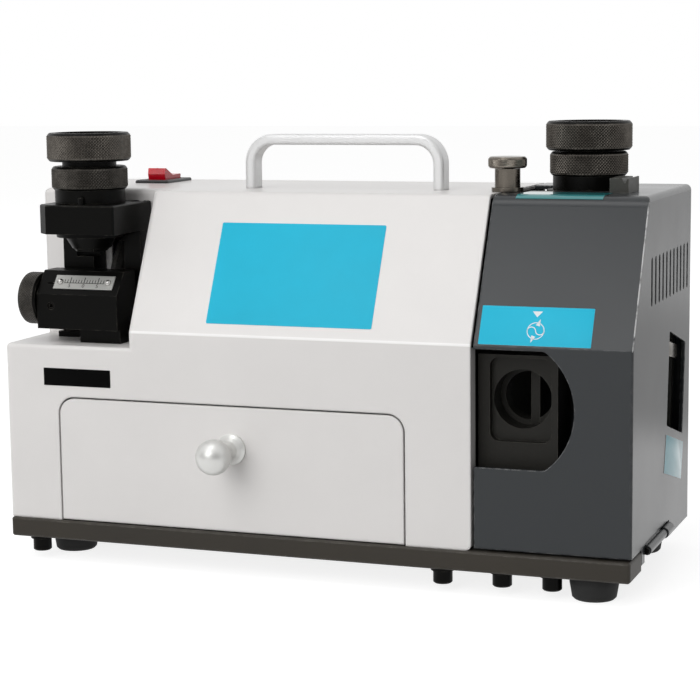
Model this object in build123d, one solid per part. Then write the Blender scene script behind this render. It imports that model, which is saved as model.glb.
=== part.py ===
from build123d import *
import math
import os

os.makedirs("parts", exist_ok=True)

# Driving sizes in mm. X to the right, Y to the back, Z up.
# Working zero: left end of the base, front of the base, top of the base.

# Clearances
RUN = 0.05
GAP = 0.4
SEAM = 0.8

# Base
BASE_L = 330.0
BASE_D = 141.0
BASE_T = 10.0
BASE_X0 = -0.8
BASE_CORNER = 1.5
BASE_EDGE = 0.8
LIP_D = 24.5
NOTCH = 6.0
FOOT_H = 12.0
FOOT_R = 12.0

# Grey cover, at the right end of the base
COVER_W = 77.4
COVER_X1 = BASE_L
COVER_X0 = COVER_X1 - COVER_W
COVER_Y = 3.0
COVER_LIFT = 1.2
COVER_DROP = 6.8

# White housing
WALL = 2.0
FRONT_Y = 2.0
BACK_Y = BASE_D - FRONT_Y
TOP_Z = 170.0
STATION_H = 78.0
SHELF_Z = TOP_Z - STATION_H
CREASE_UP = 8.4
CREASE_Z = SHELF_Z + CREASE_UP
SLOPE_RUN = 34.0
SLOPE_Y = FRONT_Y + SLOPE_RUN
HOUSE_X0 = -2.2
HOOD_X = 69.0
HOUSE_GAP = 1.2
HOUSE_X = COVER_X0 - HOUSE_GAP
BAY_D = 48.0
BAY_Y = FRONT_Y + BAY_D
EDGE_R = 3.0
HOOD_R = 3.0
SHELF_R = 2.0
RETURN_D = 6.0
RETURN_T = 1.0

# Motor axis and grinding wheels
AXIS_BACK = 30.0
AXIS_UP = 16.0
AXIS_Y = BAY_Y + AXIS_BACK
AXIS_Z = SHELF_Z + AXIS_UP
MOTOR_R = 40.0
SHAFT_R = 6.0
LWHEEL_IN = 26.0
LWHEEL_X = HOOD_X - LWHEEL_IN
LWHEEL_R = 46.0
LWHEEL_T = 6.0
RWHEEL_R = 29.0
RWHEEL_T = 20.0
FLANGE_R = 15.0
FLANGE_T = 4.0
HUB_R = 16.0
NUT_AF_R = 10.0
NUT_T = 5.0

# Shelf plate and cradle under the motor
SHELF2_T = 3.0
CRADLE_T = 8.0
CRADLE_UP = 26.0
CRADLE_IN = 18.0
CRADLE_SIDE = 6.0
SHELF2_Z = AXIS_Z - MOTOR_R - CRADLE_T - SHELF2_T
MSHELF_Y0 = 30.0

# Drawer
DRAW_X0 = 28.4
DRAW_RIGHT = 33.4
DRAW_X1 = HOUSE_X - DRAW_RIGHT
DRAW_Z0 = 0.6
DRAW_DOWN = 26.8
DRAW_Z1 = SHELF_Z - DRAW_DOWN
DRAW_R = 9.0
TRAY_D = 112.0
TRAY_T = 1.5
TRAY_Z0 = 3.2
TRAY_CLEAR = 3.8
TRAY_H = SHELF2_Z - TRAY_CLEAR - TRAY_Z0
TRAY_SIDE = 3.6
RUNNER_W = 10.0
RUNNER_H = 14.0
RUNNER_T = 2.0
KNOB_RIGHT = 2.8
KNOB_DOWN = 22.2
KNOB_X = (DRAW_X0 + DRAW_X1) / 2 + KNOB_RIGHT
KNOB_Z = DRAW_Z1 - KNOB_DOWN
BALL_R = 8.9
BALL_OUT = 22.5
COLLAR_R = 7.8
STEM_R = 4.2

# Carry handle
HAND_L = 108.8
HAND_RIGHT = 4.0
HAND_X0 = (HOOD_X + HOUSE_X) / 2 + HAND_RIGHT - HAND_L / 2
HAND_X1 = HAND_X0 + HAND_L
HAND_W = 5.4
HAND_D = 11.0
HAND_Y = 68.0
HAND_H = 28.2
HAND_R = 15.0

# Rocker switch
SW_X = 38.1
SW_BACK = 26.0
SW_Y = BACK_Y - SW_BACK
SW_W = 20.2
SW_L = 33.0
SW_H = 1.6
SW_DEEP = 14.0
ROCK_W = 10.5
ROCK_L = 20.0
ROCK_TILT = 12.0

# Chucks, the same at both stations
CHUCK_LX = LWHEEL_X - 5.8
CHUCK_LY = BAY_Y - 23.0
CHUCK_RX = COVER_X0 + 34.4
CHUCK_RY = BACK_Y - 48.0
NUT_R = 21.3
NUT_H = 14.6
RING_R = 19.3
RING_H = 11.9
SKIRT_R = 18.2
SKIRT_H = 6.9
NECK_R = 14.0
NECK_UP = 9.0
SPIGOT_R = 14.45
CHUCK_BORE_R = 9.0
CONE_R = 10.0
CONE_H = 7.5
NECK_L = 2.7
NECK_RT = 0.8
TOOL_R = 6.5

# Left station
ARM_DOWN = 6.0
ARM_T = 15.0
ARM_Z1 = TOP_Z - ARM_DOWN
ARM_Z0 = ARM_Z1 - ARM_T
ARM_X0 = CHUCK_LX - 21.0
ARM_X1 = HOOD_X - 7.5
ARM_Y0 = FRONT_Y + 2.5
PILLAR_T = 13.5
PILLAR_Y1 = BAY_Y - 1.5
PILLAR_Y0 = PILLAR_Y1 - PILLAR_T
RAIL_T = 3.0
RAIL_Z = SHELF_Z + RAIL_T
WIN_HALF = 9.0
WIN_X0 = LWHEEL_X - WIN_HALF
WIN_X1 = LWHEEL_X + WIN_HALF
FEED_TRAVEL = 1.5
BLK_X0 = ARM_X0 - 3.0
BLK_X1 = HOOD_X - 9.5
BLK_Y0 = FRONT_Y + 8.0
BLK_Y1 = PILLAR_Y0 - 3.0
BLK_LIFT = 7.3
BLK_H = 29.7
BLK_Z0 = SHELF_Z + BLK_LIFT
BLK_Z1 = BLK_Z0 + BLK_H
BLK_CY = 9.2
BLK_CZ = 11.6
FEED_Y = BLK_Y0 + 10.5
FEED_Z = BLK_Z0 + 14.7
FEED_R = 3.0
FKNOB_R = 13.3
FKNOB_T = 10.0
SCALE_L = 34.0
SCALE_W = 8.2
SCALE_T = 0.6

# Bulkhead and right station
BULK_T = 8.0
BULK_X1 = HOUSE_X - RETURN_T - GAP
BULK_X0 = BULK_X1 - BULK_T
MOTOR_X0 = HOOD_X + 23.0
MOTOR_X1 = BULK_X0 - 36.0
RWHEEL_X0 = BULK_X1 + 24.0
SEAT_Z1 = TOP_Z - 0.2
SEAT_T = 16.0
SEAT_R = 21.0
SEAT_ARM = 15.0
STOP_X0 = CHUCK_RX + 18.2
STOP_X1 = STOP_X0 + 9.5
STOP_Y0 = CHUCK_RY - 32.0
STOP_Y1 = STOP_Y0 + 23.0
STOP_H = 7.2
PLUNGE_X = COVER_X0
PLUNGE_Y = CHUCK_RY - 29.0
PLUNGE_R = 6.4
BOSS = 9.0

# Openings of the cover
POCKET_DOWN = 1.8
POCKET_H = 57.4
POCKET_Z1 = CREASE_Z - POCKET_DOWN
POCKET_Z0 = POCKET_Z1 - POCKET_H
POCKET_IN = 14.0
POCKET_R = 35.4
POCKET_CORNER = 5.0
SLOT_HALF = 22.6
VENT_N = 11
VENT_PITCH = 8.65
VENT_Y1 = BACK_Y - 9.8
VENT_W = 3.2
VENT_H = 23.6
VENT_Z1 = TOP_Z - 29.6
VENT_Z0 = VENT_Z1 - VENT_H
SIDE_Y = BACK_Y - 35.0
SIDE_Z = TOP_Z - 99.7
SIDE_U = (40.2, -10.8)
SIDE_V = (5.4, 47.6)

# Hinge
HINGE_X = BASE_L + 0.4
HINGE_Z = -1.6
HINGE_R = 2.3
LUG_GROW = 0.6
PIN_R = 1.3
HINGE_L = 38.5
LUG_L = 14.0
HINGE_Y0 = LIP_D + 10.5
HINGE_Y1 = HINGE_Y0 + HINGE_L
HINGE_Y2 = HINGE_Y1 + LUG_L

# Setting block
SET_X0 = COVER_X0 - 0.6
SET_X1 = SET_X0 + 39.6
SET_Y0 = COVER_Y + 10.0
SET_Y1 = SET_Y0 + 25.0
SET_Z0 = POCKET_Z0 - 6.0
SET_Z1 = POCKET_Z1 - 3.6
SET_BX = SET_X0 + 21.2
SET_BZ = POCKET_Z1 - 25.4
SET_BORE_R = SPIGOT_R + RUN
SET_SHOULDER = 2.5
SET_STEP = 4.0

# Power inlet, high in the back wall and left of the motor
INLET_X = LWHEEL_X + 21.0
INLET_Z = AXIS_Z - 34.0
INLET_W = 28.0
INLET_H = 20.0
INLET_RIM = 3.0
INLET_OUT = 3.0
INLET_DEEP = 18.0
PIN_SINK = 6.5

# Middle of the whole, so that the origin is under the centre of the bounding box
X_MID = (HOUSE_X0 + HINGE_X + HINGE_R + LUG_GROW) / 2
Y_FRONT = FRONT_Y - BALL_OUT - BALL_R
Y_MID = (Y_FRONT + BACK_Y + INLET_OUT) / 2
Z_LIFT = BASE_T + FOOT_H


def box(x0, x1, y0, y1, z0, z1):
    """Block between two corners."""
    return Pos((x0 + x1) / 2, (y0 + y1) / 2, (z0 + z1) / 2) * Box(x1 - x0, y1 - y0, z1 - z0)


def rod_z(x, y, z0, z1, r):
    """Upright round bar."""
    return Pos(x, y, (z0 + z1) / 2) * Cylinder(r, z1 - z0)


def rod_x(y, z, x0, x1, r):
    """Round bar along X."""
    return Pos((x0 + x1) / 2, y, z) * Rot(0, 90, 0) * Cylinder(r, x1 - x0)


def rod_y(x, z, y0, y1, r):
    """Round bar along Y."""
    return Pos(x, (y0 + y1) / 2, z) * Rot(90, 0, 0) * Cylinder(r, y1 - y0)


def slab_x(pts, x0, x1):
    """Prism along X from a closed outline of (y, z) points."""
    wire = Polyline(*[(x0, y, z) for y, z in pts], close=True)
    return extrude(make_face(wire), amount=x1 - x0, dir=(1, 0, 0))


def slab_y(pts, y0, y1):
    """Prism along Y from a closed outline of (x, z) points."""
    wire = Polyline(*[(x, y0, z) for x, z in pts], close=True)
    return extrude(make_face(wire), amount=y1 - y0, dir=(0, 1, 0))


def slab_z(pts, z0, z1):
    """Prism along Z from a closed outline of (x, y) points."""
    wire = Polyline(*[(x, y, z0) for x, y in pts], close=True)
    return extrude(make_face(wire), amount=z1 - z0, dir=(0, 0, 1))


def turned(pts, x, y):
    """Solid of revolution about an upright axis from (r, z) points."""
    wire = Polyline(*[(r, 0, z) for r, z in pts], close=True)
    return Pos(x, y, 0) * revolve(make_face(wire), axis=Axis.Z)


def edges_along(shape, axis, test):
    """Straight edges parallel to an axis whose centre passes a test."""
    return [e for e in shape.edges().filter_by(axis) if test(e.center())]


def group(shapes):
    """Several separate solids as one node."""
    return Compound(children=[s for shape in shapes for s in shape.solids()])


def put(shape, name):
    """Write one node, moved to the shared origin."""
    export_step(Pos(-X_MID, -Y_MID, Z_LIFT) * shape, f"parts/{name}.step")


# Base plate with a front lip and a recess for the hanging side of the cover
FOOT_XL = 20.5
FOOT_XR = BASE_L - 21.0
FOOT_YB = BASE_D - 23.0
FEET_XY = [(FOOT_XL, 31.5), (FOOT_XR, 16.5), (FOOT_XL, FOOT_YB), (FOOT_XR, FOOT_YB)]
SCREW_YB = BASE_D - 10.0
SCREW_XY = [(13.2, 7.5), (HOUSE_X - 16.1, 7.5), (COVER_X0 + 12.2, 10.0), (COVER_X0 + 37.2, 10.0)]
SCREW_XY += [(FOOT_XL + 25.5, SCREW_YB), (HOUSE_X - 15.5, SCREW_YB)]
SCREW_DEEP = 7.0
HOLE_DEEP = 8.0
WASH_R = 6.0
WASH_T = 1.6
HEAD_R = 4.8
HEAD_H = 6.5
SHANK_R = 3.0
FSCREW_R = 2.5
base = box(BASE_X0, BASE_L, 0, BASE_D, -BASE_T, 0)
base -= box(BASE_L - NOTCH, BASE_L + 1, LIP_D, BASE_D + 1, -BASE_T - 1, 1)
base = fillet(edges_along(base, Axis.Z, lambda c: c.Y < 1 or c.Y > BASE_D - 1), BASE_CORNER)
base = chamfer(base.faces().sort_by(Axis.Z)[-1].edges(), BASE_EDGE)
base = chamfer(base.faces().sort_by(Axis.Z)[0].edges(), BASE_EDGE)
for x, y in FEET_XY:
    base -= rod_z(x, y, -BASE_T - 1, -BASE_T + HOLE_DEEP, FSCREW_R + RUN)
for x, y in SCREW_XY:
    base -= rod_z(x, y, -BASE_T - 1, -BASE_T + HOLE_DEEP, SHANK_R + RUN)
put(base, "base_plate")

# Rubber feet with a sunk screw each
FOOT_Z0 = -BASE_T - FOOT_H
foot_pts = [(0, -BASE_T), (FOOT_R, -BASE_T), (FOOT_R, -BASE_T - 4), (FOOT_R - 1.2, FOOT_Z0 + 1)]
foot_pts += [(FOOT_R - 2.2, FOOT_Z0), (5.5, FOOT_Z0), (5.5, FOOT_Z0 + 6), (0, FOOT_Z0 + 6)]
feet = []
foot_screws = []
for x, y in FEET_XY:
    feet.append(turned(foot_pts, x, y) - rod_z(x, y, FOOT_Z0, -BASE_T + 1, FSCREW_R + RUN))
    head_z = FOOT_Z0 + 6
    screw = rod_z(x, y, head_z - 2.6, head_z, 4.6) + rod_z(x, y, head_z - 1, -BASE_T + SCREW_DEEP, FSCREW_R)
    screw -= box(x - 4, x + 4, y - 0.5, y + 0.5, head_z - 3, head_z - 1.5)
    screw -= box(x - 0.5, x + 0.5, y - 4, y + 4, head_z - 3, head_z - 1.5)
    foot_screws.append(screw)
put(group(feet), "rubber_feet")
put(group(foot_screws), "foot_screws")

# Cap screws and washers that hold the housing and the frame from below
washers = []
cap_screws = []
for x, y in SCREW_XY:
    top = -BASE_T - WASH_T
    washers.append(rod_z(x, y, top, -BASE_T, WASH_R) - rod_z(x, y, top - 1, 0, SHANK_R + RUN))
    cap = chamfer(rod_z(x, y, top - HEAD_H, top, HEAD_R).edges().sort_by(Axis.Z)[0], 0.6)
    cap += rod_z(x, y, top - 1, -BASE_T + SCREW_DEEP, SHANK_R)
    hexa = extrude(Pos(x, y, top - HEAD_H - 1) * RegularPolygon(2.9, 6), amount=4)
    cap_screws.append(cap - hexa)
put(group(washers), "base_washers")
put(group(cap_screws), "base_cap_screws")


def hood_profile(front, t, z_bottom):
    """Outline of the hood set in by t: front wall, slope, top, back."""
    run = SLOPE_Y - FRONT_Y
    rise = TOP_Z - CREASE_Z
    length = math.hypot(run, rise)
    y0 = front + t * rise / length
    z0 = CREASE_Z - t * run / length
    z_front = z0 + (front + t - y0) * rise / run
    y_top = y0 + (TOP_Z - t - z0) * run / rise
    return [
        (front + t, z_bottom),
        (front + t, z_front),
        (y_top, TOP_Z - t),
        (BACK_Y - t, TOP_Z - t),
        (BACK_Y - t, z_bottom),
    ]


def bay_profile(t, z_bottom):
    """Outline of the left end set in by t: low shelf in front, tower behind."""
    y0 = FRONT_Y + t
    y1 = BACK_Y - t
    return [
        (y0, z_bottom),
        (y0, SHELF_Z - t),
        (BAY_Y + t, SHELF_Z - t),
        (BAY_Y + t, TOP_Z - t),
        (y1, TOP_Z - t),
        (y1, z_bottom),
    ]


# White housing: shelf, tower and sloped hood in one shell
outer = slab_x(hood_profile(FRONT_Y, 0, 0), HOOD_X, HOUSE_X) + slab_x(bay_profile(0, 0), HOUSE_X0, HOOD_X)


def near(a, b):
    """True when two numbers agree."""
    return abs(a - b) < 0.2


def round_edges(shape, tests, r):
    """Fillet the edges whose centre passes any of the tests."""
    picked = [e for e in shape.edges() if any(t(e.center()) for t in tests)]
    return fillet(picked, r)


outer = round_edges(outer, [lambda c: near(c.X, HOUSE_X0) and near(c.Y, FRONT_Y)], EDGE_R)
outer = round_edges(outer, [lambda c: near(c.X, HOUSE_X0) and near(c.Y, BACK_Y)], EDGE_R)
outer = round_edges(
    outer,
    [
        lambda c: near(c.Z, SHELF_Z) and near(c.Y, FRONT_Y),
        lambda c: near(c.Z, SHELF_Z) and near(c.X, HOUSE_X0),
        lambda c: near(c.Z, SHELF_Z) and c.X < HOUSE_X0 + EDGE_R and c.Y < FRONT_Y + EDGE_R,
    ],
    SHELF_R,
)
outer = round_edges(
    outer,
    [
        lambda c: near(c.Z, TOP_Z) and near(c.Y, SLOPE_Y),
        lambda c: near(c.X, HOOD_X) and SHELF_Z + 4 < c.Z < TOP_Z - 4 and c.Y < SLOPE_Y,
        lambda c: near(c.X, HOOD_X) and near(c.Z, TOP_Z) and c.Y < BAY_Y,
        lambda c: near(c.Z, TOP_Z) and near(c.Y, BAY_Y),
        lambda c: near(c.Z, TOP_Z) and near(c.X, HOUSE_X0),
        lambda c: near(c.Z, TOP_Z) and near(c.Y, BACK_Y),
        lambda c: near(c.Z, TOP_Z) and c.X < HOUSE_X0 + EDGE_R and c.Y > BACK_Y - EDGE_R,
    ],
    HOOD_R,
)
inner = slab_x(hood_profile(FRONT_Y, WALL, -1), HOOD_X + WALL, HOUSE_X + 1)
inner += slab_x(bay_profile(WALL, -1), HOUSE_X0 + WALL, HOOD_X + WALL + 1)
house = outer - inner

# Return of the front wall at the right end, seen through the cover's opening
house += box(HOUSE_X - RETURN_T, HOUSE_X, FRONT_Y + WALL - 0.5, FRONT_Y + WALL + RETURN_D, 0, CREASE_Z - WALL)
house = fillet(
    edges_along(house, Axis.Y, lambda c: near(c.X, HOUSE_X) and near(c.Z, 0) and c.Y < BAY_Y),
    HOOD_R,
)

# Openings of the housing
draw_hole = box(DRAW_X0, DRAW_X1, FRONT_Y - 1, FRONT_Y + WALL + 1, -1, DRAW_Z1)
draw_hole = fillet(edges_along(draw_hole, Axis.Y, lambda c: c.Z > DRAW_Z1 - 1), DRAW_R)
house -= draw_hole
SW_CUT_W = SW_W - 3.0
SW_CUT_L = SW_L - 3.5
sw_w = SW_CUT_W / 2
sw_l = SW_CUT_L / 2
house -= box(SW_X - sw_w, SW_X + sw_w, SW_Y - sw_l, SW_Y + sw_l, TOP_Z - 5, TOP_Z + 2)
house -= rod_z(PLUNGE_X, PLUNGE_Y, TOP_Z - 4, TOP_Z + 2, PLUNGE_R + 0.5)
SLIT = LWHEEL_T / 2 + 3.0
SLIT_DOWN = 8.0
house -= box(LWHEEL_X - SLIT, LWHEEL_X + SLIT, PILLAR_Y0 - 2, BAY_Y + WALL + 1, SHELF_Z - SLIT_DOWN, ARM_Z0)
HSCREW_R = 2.0
HAND_CX = [HAND_X0 + HAND_W / 2, HAND_X1 - HAND_W / 2]
for x in HAND_CX:
    house -= rod_z(x, HAND_Y, TOP_Z - 5, TOP_Z + 1, HSCREW_R + RUN)
cut_w = INLET_W / 2
cut_h = INLET_H / 2
house -= box(INLET_X - cut_w, INLET_X + cut_w, BACK_Y - 5, BACK_Y + 1, INLET_Z - cut_h, INLET_Z + cut_h)
put(house, "main_housing")


def turned_y(pts, x, z):
    """Solid of revolution about an axis along Y from (r, y) points."""
    wire = Polyline(*[(r, y, 0) for r, y in pts], close=True)
    return Pos(x, 0, z) * revolve(make_face(wire), axis=Axis.Y)


def turned_x(pts, y, z):
    """Solid of revolution about an axis along X from (r, x) points."""
    wire = Polyline(*[(x, r, 0) for r, x in pts], close=True)
    return Pos(0, y, z) * revolve(make_face(wire), axis=Axis.X)


# Drawer front, set flush in the housing
DRAW_BACK = FRONT_Y + WALL
KSCREW_R = 2.0
front = box(DRAW_X0 + SEAM, DRAW_X1 - SEAM, FRONT_Y, DRAW_BACK, DRAW_Z0, DRAW_Z1 - SEAM)
front = fillet(edges_along(front, Axis.Y, lambda c: c.Z > DRAW_Z1 - 2), DRAW_R - SEAM)
front -= rod_y(KNOB_X, KNOB_Z, FRONT_Y - 1, DRAW_BACK + 1, KSCREW_R + RUN)
put(front, "drawer_front")

# Drawer tray behind the front
TRAY_X0 = DRAW_X0 + TRAY_SIDE
TRAY_X1 = DRAW_X1 - TRAY_SIDE
TRAY_Y1 = DRAW_BACK + TRAY_D
tray = box(TRAY_X0, TRAY_X1, DRAW_BACK, TRAY_Y1, TRAY_Z0, TRAY_Z0 + TRAY_H)
tray_in_x0 = TRAY_X0 + TRAY_T
tray_in_x1 = TRAY_X1 - TRAY_T
tray -= box(tray_in_x0, tray_in_x1, DRAW_BACK - 1, TRAY_Y1 - TRAY_T, TRAY_Z0 + TRAY_T, TRAY_Z0 + TRAY_H + 1)
put(tray, "drawer_tray")

# Two angle runners on the base
RUN_Y0 = DRAW_BACK + 4
RUN_Y1 = TRAY_Y1 + 4
SIDE_GAP = 0.5
LEFT_X1 = TRAY_X0 - SIDE_GAP
RIGHT_X0 = TRAY_X1 + SIDE_GAP
left_run = box(LEFT_X1 - RUNNER_T, TRAY_X0 + RUNNER_W, RUN_Y0, RUN_Y1, 0, TRAY_Z0 - GAP)
left_run += box(LEFT_X1 - RUNNER_T, LEFT_X1, RUN_Y0, RUN_Y1, 0, RUNNER_H)
right_run = box(TRAY_X1 - RUNNER_W, RIGHT_X0 + RUNNER_T, RUN_Y0, RUN_Y1, 0, TRAY_Z0 - GAP)
right_run += box(RIGHT_X0, RIGHT_X0 + RUNNER_T, RUN_Y0, RUN_Y1, 0, RUNNER_H)
put(group([left_run, right_run]), "drawer_runners")

# Ball knob on a flared collar, held by a screw from behind
BALL_Y = FRONT_Y - BALL_OUT
knob_pts = [(0, FRONT_Y), (COLLAR_R, FRONT_Y), (COLLAR_R, FRONT_Y - 1.6), (COLLAR_R - 1.4, FRONT_Y - 3)]
knob_pts += [(STEM_R + 0.8, FRONT_Y - 5), (STEM_R, FRONT_Y - 8), (STEM_R, BALL_Y), (0, BALL_Y)]
knob = turned_y(knob_pts, KNOB_X, KNOB_Z) + Pos(KNOB_X, BALL_Y, KNOB_Z) * Sphere(BALL_R)
knob -= rod_y(KNOB_X, KNOB_Z, FRONT_Y - 12, FRONT_Y + 1, KSCREW_R + RUN)
put(knob, "drawer_knob")
kscrew = rod_y(KNOB_X, KNOB_Z, FRONT_Y - 11, DRAW_BACK + 1, KSCREW_R)
kscrew += rod_y(KNOB_X, KNOB_Z, DRAW_BACK, DRAW_BACK + 2.4, 4.0)
kscrew -= box(KNOB_X - 3, KNOB_X + 3, DRAW_BACK + 1.2, DRAW_BACK + 3, KNOB_Z - 0.5, KNOB_Z + 0.5)
put(kscrew, "knob_screw")

# Flat-bar carry handle bent to a U
HAND_Z1 = TOP_Z + HAND_H
loop = box(HAND_X0, HAND_X1, HAND_Y - HAND_D / 2, HAND_Y + HAND_D / 2, TOP_Z, HAND_Z1)
loop = fillet(edges_along(loop, Axis.Y, lambda c: c.Z > HAND_Z1 - 1), HAND_R)
hole_y = HAND_D
hole = box(HAND_X0 + HAND_W, HAND_X1 - HAND_W, HAND_Y - hole_y, HAND_Y + hole_y, TOP_Z - 10, HAND_Z1 - HAND_W)
hole = fillet(edges_along(hole, Axis.Y, lambda c: c.Z > TOP_Z), HAND_R - HAND_W)
handle = loop - hole
for side in (-1, 1):
    rim = handle.faces().sort_by(Axis.Y)[0 if side < 0 else -1]
    handle = chamfer([e for e in rim.edges() if e.center().Z > TOP_Z + 0.5], 1.0)
for x in HAND_CX:
    handle -= rod_z(x, HAND_Y, TOP_Z - 1, TOP_Z + 9, HSCREW_R + RUN)
put(handle, "carry_handle")
hscrews = []
for x in HAND_CX:
    under = TOP_Z - WALL
    hs = rod_z(x, HAND_Y, under - 2.4, under, 4.0)
    hs += rod_z(x, HAND_Y, under - 1, TOP_Z + 8.5, HSCREW_R)
    hscrews.append(hs - box(x - 3, x + 3, HAND_Y - 0.5, HAND_Y + 0.5, under - 3, under - 1.2))
put(group(hscrews), "handle_screws")

# Rocker switch: body with bezel, and the rocker drawn with its front end up
SW_TOP = TOP_Z + SW_H
PIVOT_Z = TOP_Z - 0.9
switch = box(SW_X - SW_W / 2, SW_X + SW_W / 2, SW_Y - SW_L / 2, SW_Y + SW_L / 2, TOP_Z, SW_TOP)
switch = fillet(edges_along(switch, Axis.Z, lambda c: True), 2.0)
switch = chamfer(switch.faces().sort_by(Axis.Z)[-1].edges(), 0.6)
body_w = SW_CUT_W / 2 - 0.2
body_l = SW_CUT_L / 2 - 0.2
switch += box(SW_X - body_w, SW_X + body_w, SW_Y - body_l, SW_Y + body_l, TOP_Z - SW_DEEP, TOP_Z + 0.5)
well_w = ROCK_W / 2 + GAP
well_l = ROCK_L / 2 + 1.45
switch -= box(SW_X - well_w, SW_X + well_w, SW_Y - well_l, SW_Y + well_l, TOP_Z - SW_DEEP + WALL, SW_TOP + 1)
TRUN_R = 1.0
TRUN_L = 1.2
switch -= rod_x(SW_Y, PIVOT_Z, SW_X - well_w - TRUN_L, SW_X + well_w + TRUN_L, TRUN_R + RUN)
put(switch, "switch_body")
half = ROCK_L / 2
rock_pts = [(-half, 7.2), (0, 4.8), (half, 7.2), (half, 3.4), (6, -4.5), (-6, -4.5), (-half, 3.4)]
rocker = slab_x(rock_pts, -ROCK_W / 2, ROCK_W / 2)
rocker = fillet(edges_along(rocker, Axis.X, lambda c: c.Z > 6), 0.8)
rocker += rod_x(0, 0, -well_w - TRUN_L + 0.3, well_w + TRUN_L - 0.3, TRUN_R)
rocker = Pos(SW_X, SW_Y, PIVOT_Z) * Rot(-ROCK_TILT, 0, 0) * rocker
put(rocker, "switch_rocker")

# Power inlet in the back wall, with three flat pins
INLET_Y = BACK_Y + INLET_OUT
rim_w = INLET_W / 2 + INLET_RIM
rim_h = INLET_H / 2 + INLET_RIM
inlet = box(INLET_X - rim_w, INLET_X + rim_w, BACK_Y, INLET_Y, INLET_Z - rim_h, INLET_Z + rim_h)
inlet = fillet(edges_along(inlet, Axis.Y, lambda c: True), INLET_RIM)
plug_w = INLET_W / 2 - 0.3
plug_h = INLET_H / 2 - 0.3
PLUG_Y0 = BACK_Y - INLET_DEEP
inlet += box(INLET_X - plug_w, INLET_X + plug_w, PLUG_Y0, BACK_Y + 1, INLET_Z - plug_h, INLET_Z + plug_h)
mouth_w = INLET_W / 2 - 2.0
mouth_h = INLET_H / 2 - 2.0
MOUTH_Y = BACK_Y - INLET_DEEP + 5.0
mouth = box(INLET_X - mouth_w, INLET_X + mouth_w, MOUTH_Y, INLET_Y + 1, INLET_Z - mouth_h, INLET_Z + mouth_h)
mouth = chamfer(edges_along(mouth, Axis.Y, lambda c: c.Z > INLET_Z), 4.0)
inlet -= mouth
put(inlet, "power_inlet")
pins = []
for dx, dz in ((-7, -2), (0, 2.5), (7, -2)):
    pin_x = INLET_X + dx
    pin_z = INLET_Z + dz
    pins.append(box(pin_x - 1, pin_x + 1, MOUTH_Y, INLET_Y - PIN_SINK, pin_z - 2, pin_z + 2))
put(group(pins), "inlet_pins")

# Left station: two short dovetail rails on the shelf
RAIL_Y = (PILLAR_Y0 + PILLAR_Y1) / 2
RAIL_H = 4.5
RAIL_B = 3.6
RAIL_W = 5.0


def dovetail(grow):
    """Outline of the dovetail, wider at its top, grown by a clearance."""
    z1 = RAIL_Z + RAIL_H + grow
    return [
        (RAIL_Y - RAIL_B - grow, RAIL_Z - grow),
        (RAIL_Y + RAIL_B + grow, RAIL_Z - grow),
        (RAIL_Y + RAIL_W + grow, z1),
        (RAIL_Y - RAIL_W - grow, z1),
    ]


rails = []
for x0, x1 in ((ARM_X0 - 3.5, WIN_X0 + 1.5), (WIN_X1 - 1.5, HOOD_X - 0.5)):
    rail = box(x0, x1, PILLAR_Y0 - 2, BAY_Y - 0.2, SHELF_Z, RAIL_Z)
    rails.append(rail + slab_x(dovetail(0), x0, x1))
put(group(rails), "slide_rails")

# Carriage pillar: two cheeks with a window for the wheel, and a nut lug for the screw
LUG_X0 = ARM_X0 + 4.0
LUG_X1 = LUG_X0 + 10.0
LUG_HALF = 8.0
PILLAR_Z0 = RAIL_Z + RUN
pillar = box(ARM_X0, ARM_X1, PILLAR_Y0, PILLAR_Y1, PILLAR_Z0, ARM_Z0)
pillar -= box(WIN_X0, WIN_X1, PILLAR_Y0 - 1, PILLAR_Y1 + 1, PILLAR_Z0 - 1, ARM_Z0 - 5)
pillar -= slab_x(dovetail(RUN), ARM_X0 - 1, ARM_X1 + 1)
pillar -= rod_z(CHUCK_LX, CHUCK_LY, ARM_Z0 - 14, ARM_Z0 + 1, SPIGOT_R + 1.0)
pillar += box(LUG_X0, LUG_X1, BLK_Y0 + 5, PILLAR_Y0 + 0.5, FEED_Z - LUG_HALF, FEED_Z + LUG_HALF)
pillar -= rod_x(FEED_Y, FEED_Z, LUG_X0 - 1, LUG_X1 + 1, FEED_R + RUN)
ASCREW_R = 2.5
AHEAD_R = 4.2
ASCREW_Y = PILLAR_Y1 - 4.5
ASCREW_X = [ARM_X0 + 7.0, ARM_X1 - 5.2]
for x in ASCREW_X:
    pillar -= rod_z(x, ASCREW_Y, ARM_Z0 - 10, ARM_Z0 + 1, ASCREW_R + RUN)
put(pillar, "carriage_pillar")

# Bracket arm that carries the chuck
BOSS_R = 18.0
BOSS_H = 2.4
arm = box(ARM_X0, ARM_X1, ARM_Y0, PILLAR_Y1, ARM_Z0, ARM_Z1)
arm = fillet(edges_along(arm, Axis.Z, lambda c: c.X > ARM_X1 - 1 and c.Y < ARM_Y0 + 1), 1.5)
arm = chamfer(edges_along(arm, Axis.Z, lambda c: c.X < ARM_X0 + 1 and c.Y < ARM_Y0 + 1), 6.5)
arm = chamfer(arm.faces().sort_by(Axis.Z)[-1].edges(), 0.6)
boss = rod_z(CHUCK_LX, CHUCK_LY, ARM_Z0 - BOSS_H, ARM_Z0 + 1, BOSS_R)
arm += boss & box(ARM_X0, ARM_X1, ARM_Y0, PILLAR_Y0 - GAP, ARM_Z0 - BOSS_H, ARM_Z0 + 1)
arm -= rod_z(CHUCK_LX, CHUCK_LY, ARM_Z0 - BOSS_H - 1, ARM_Z1 + 1, SPIGOT_R + RUN)
PIN_X = CHUCK_LX + 5.1
PIN_Y = ARM_Y0 + 2.3
DOWEL_R = 1.4
arm -= rod_z(PIN_X, PIN_Y, ARM_Z1 - 6, ARM_Z1 + 1, DOWEL_R)
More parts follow.
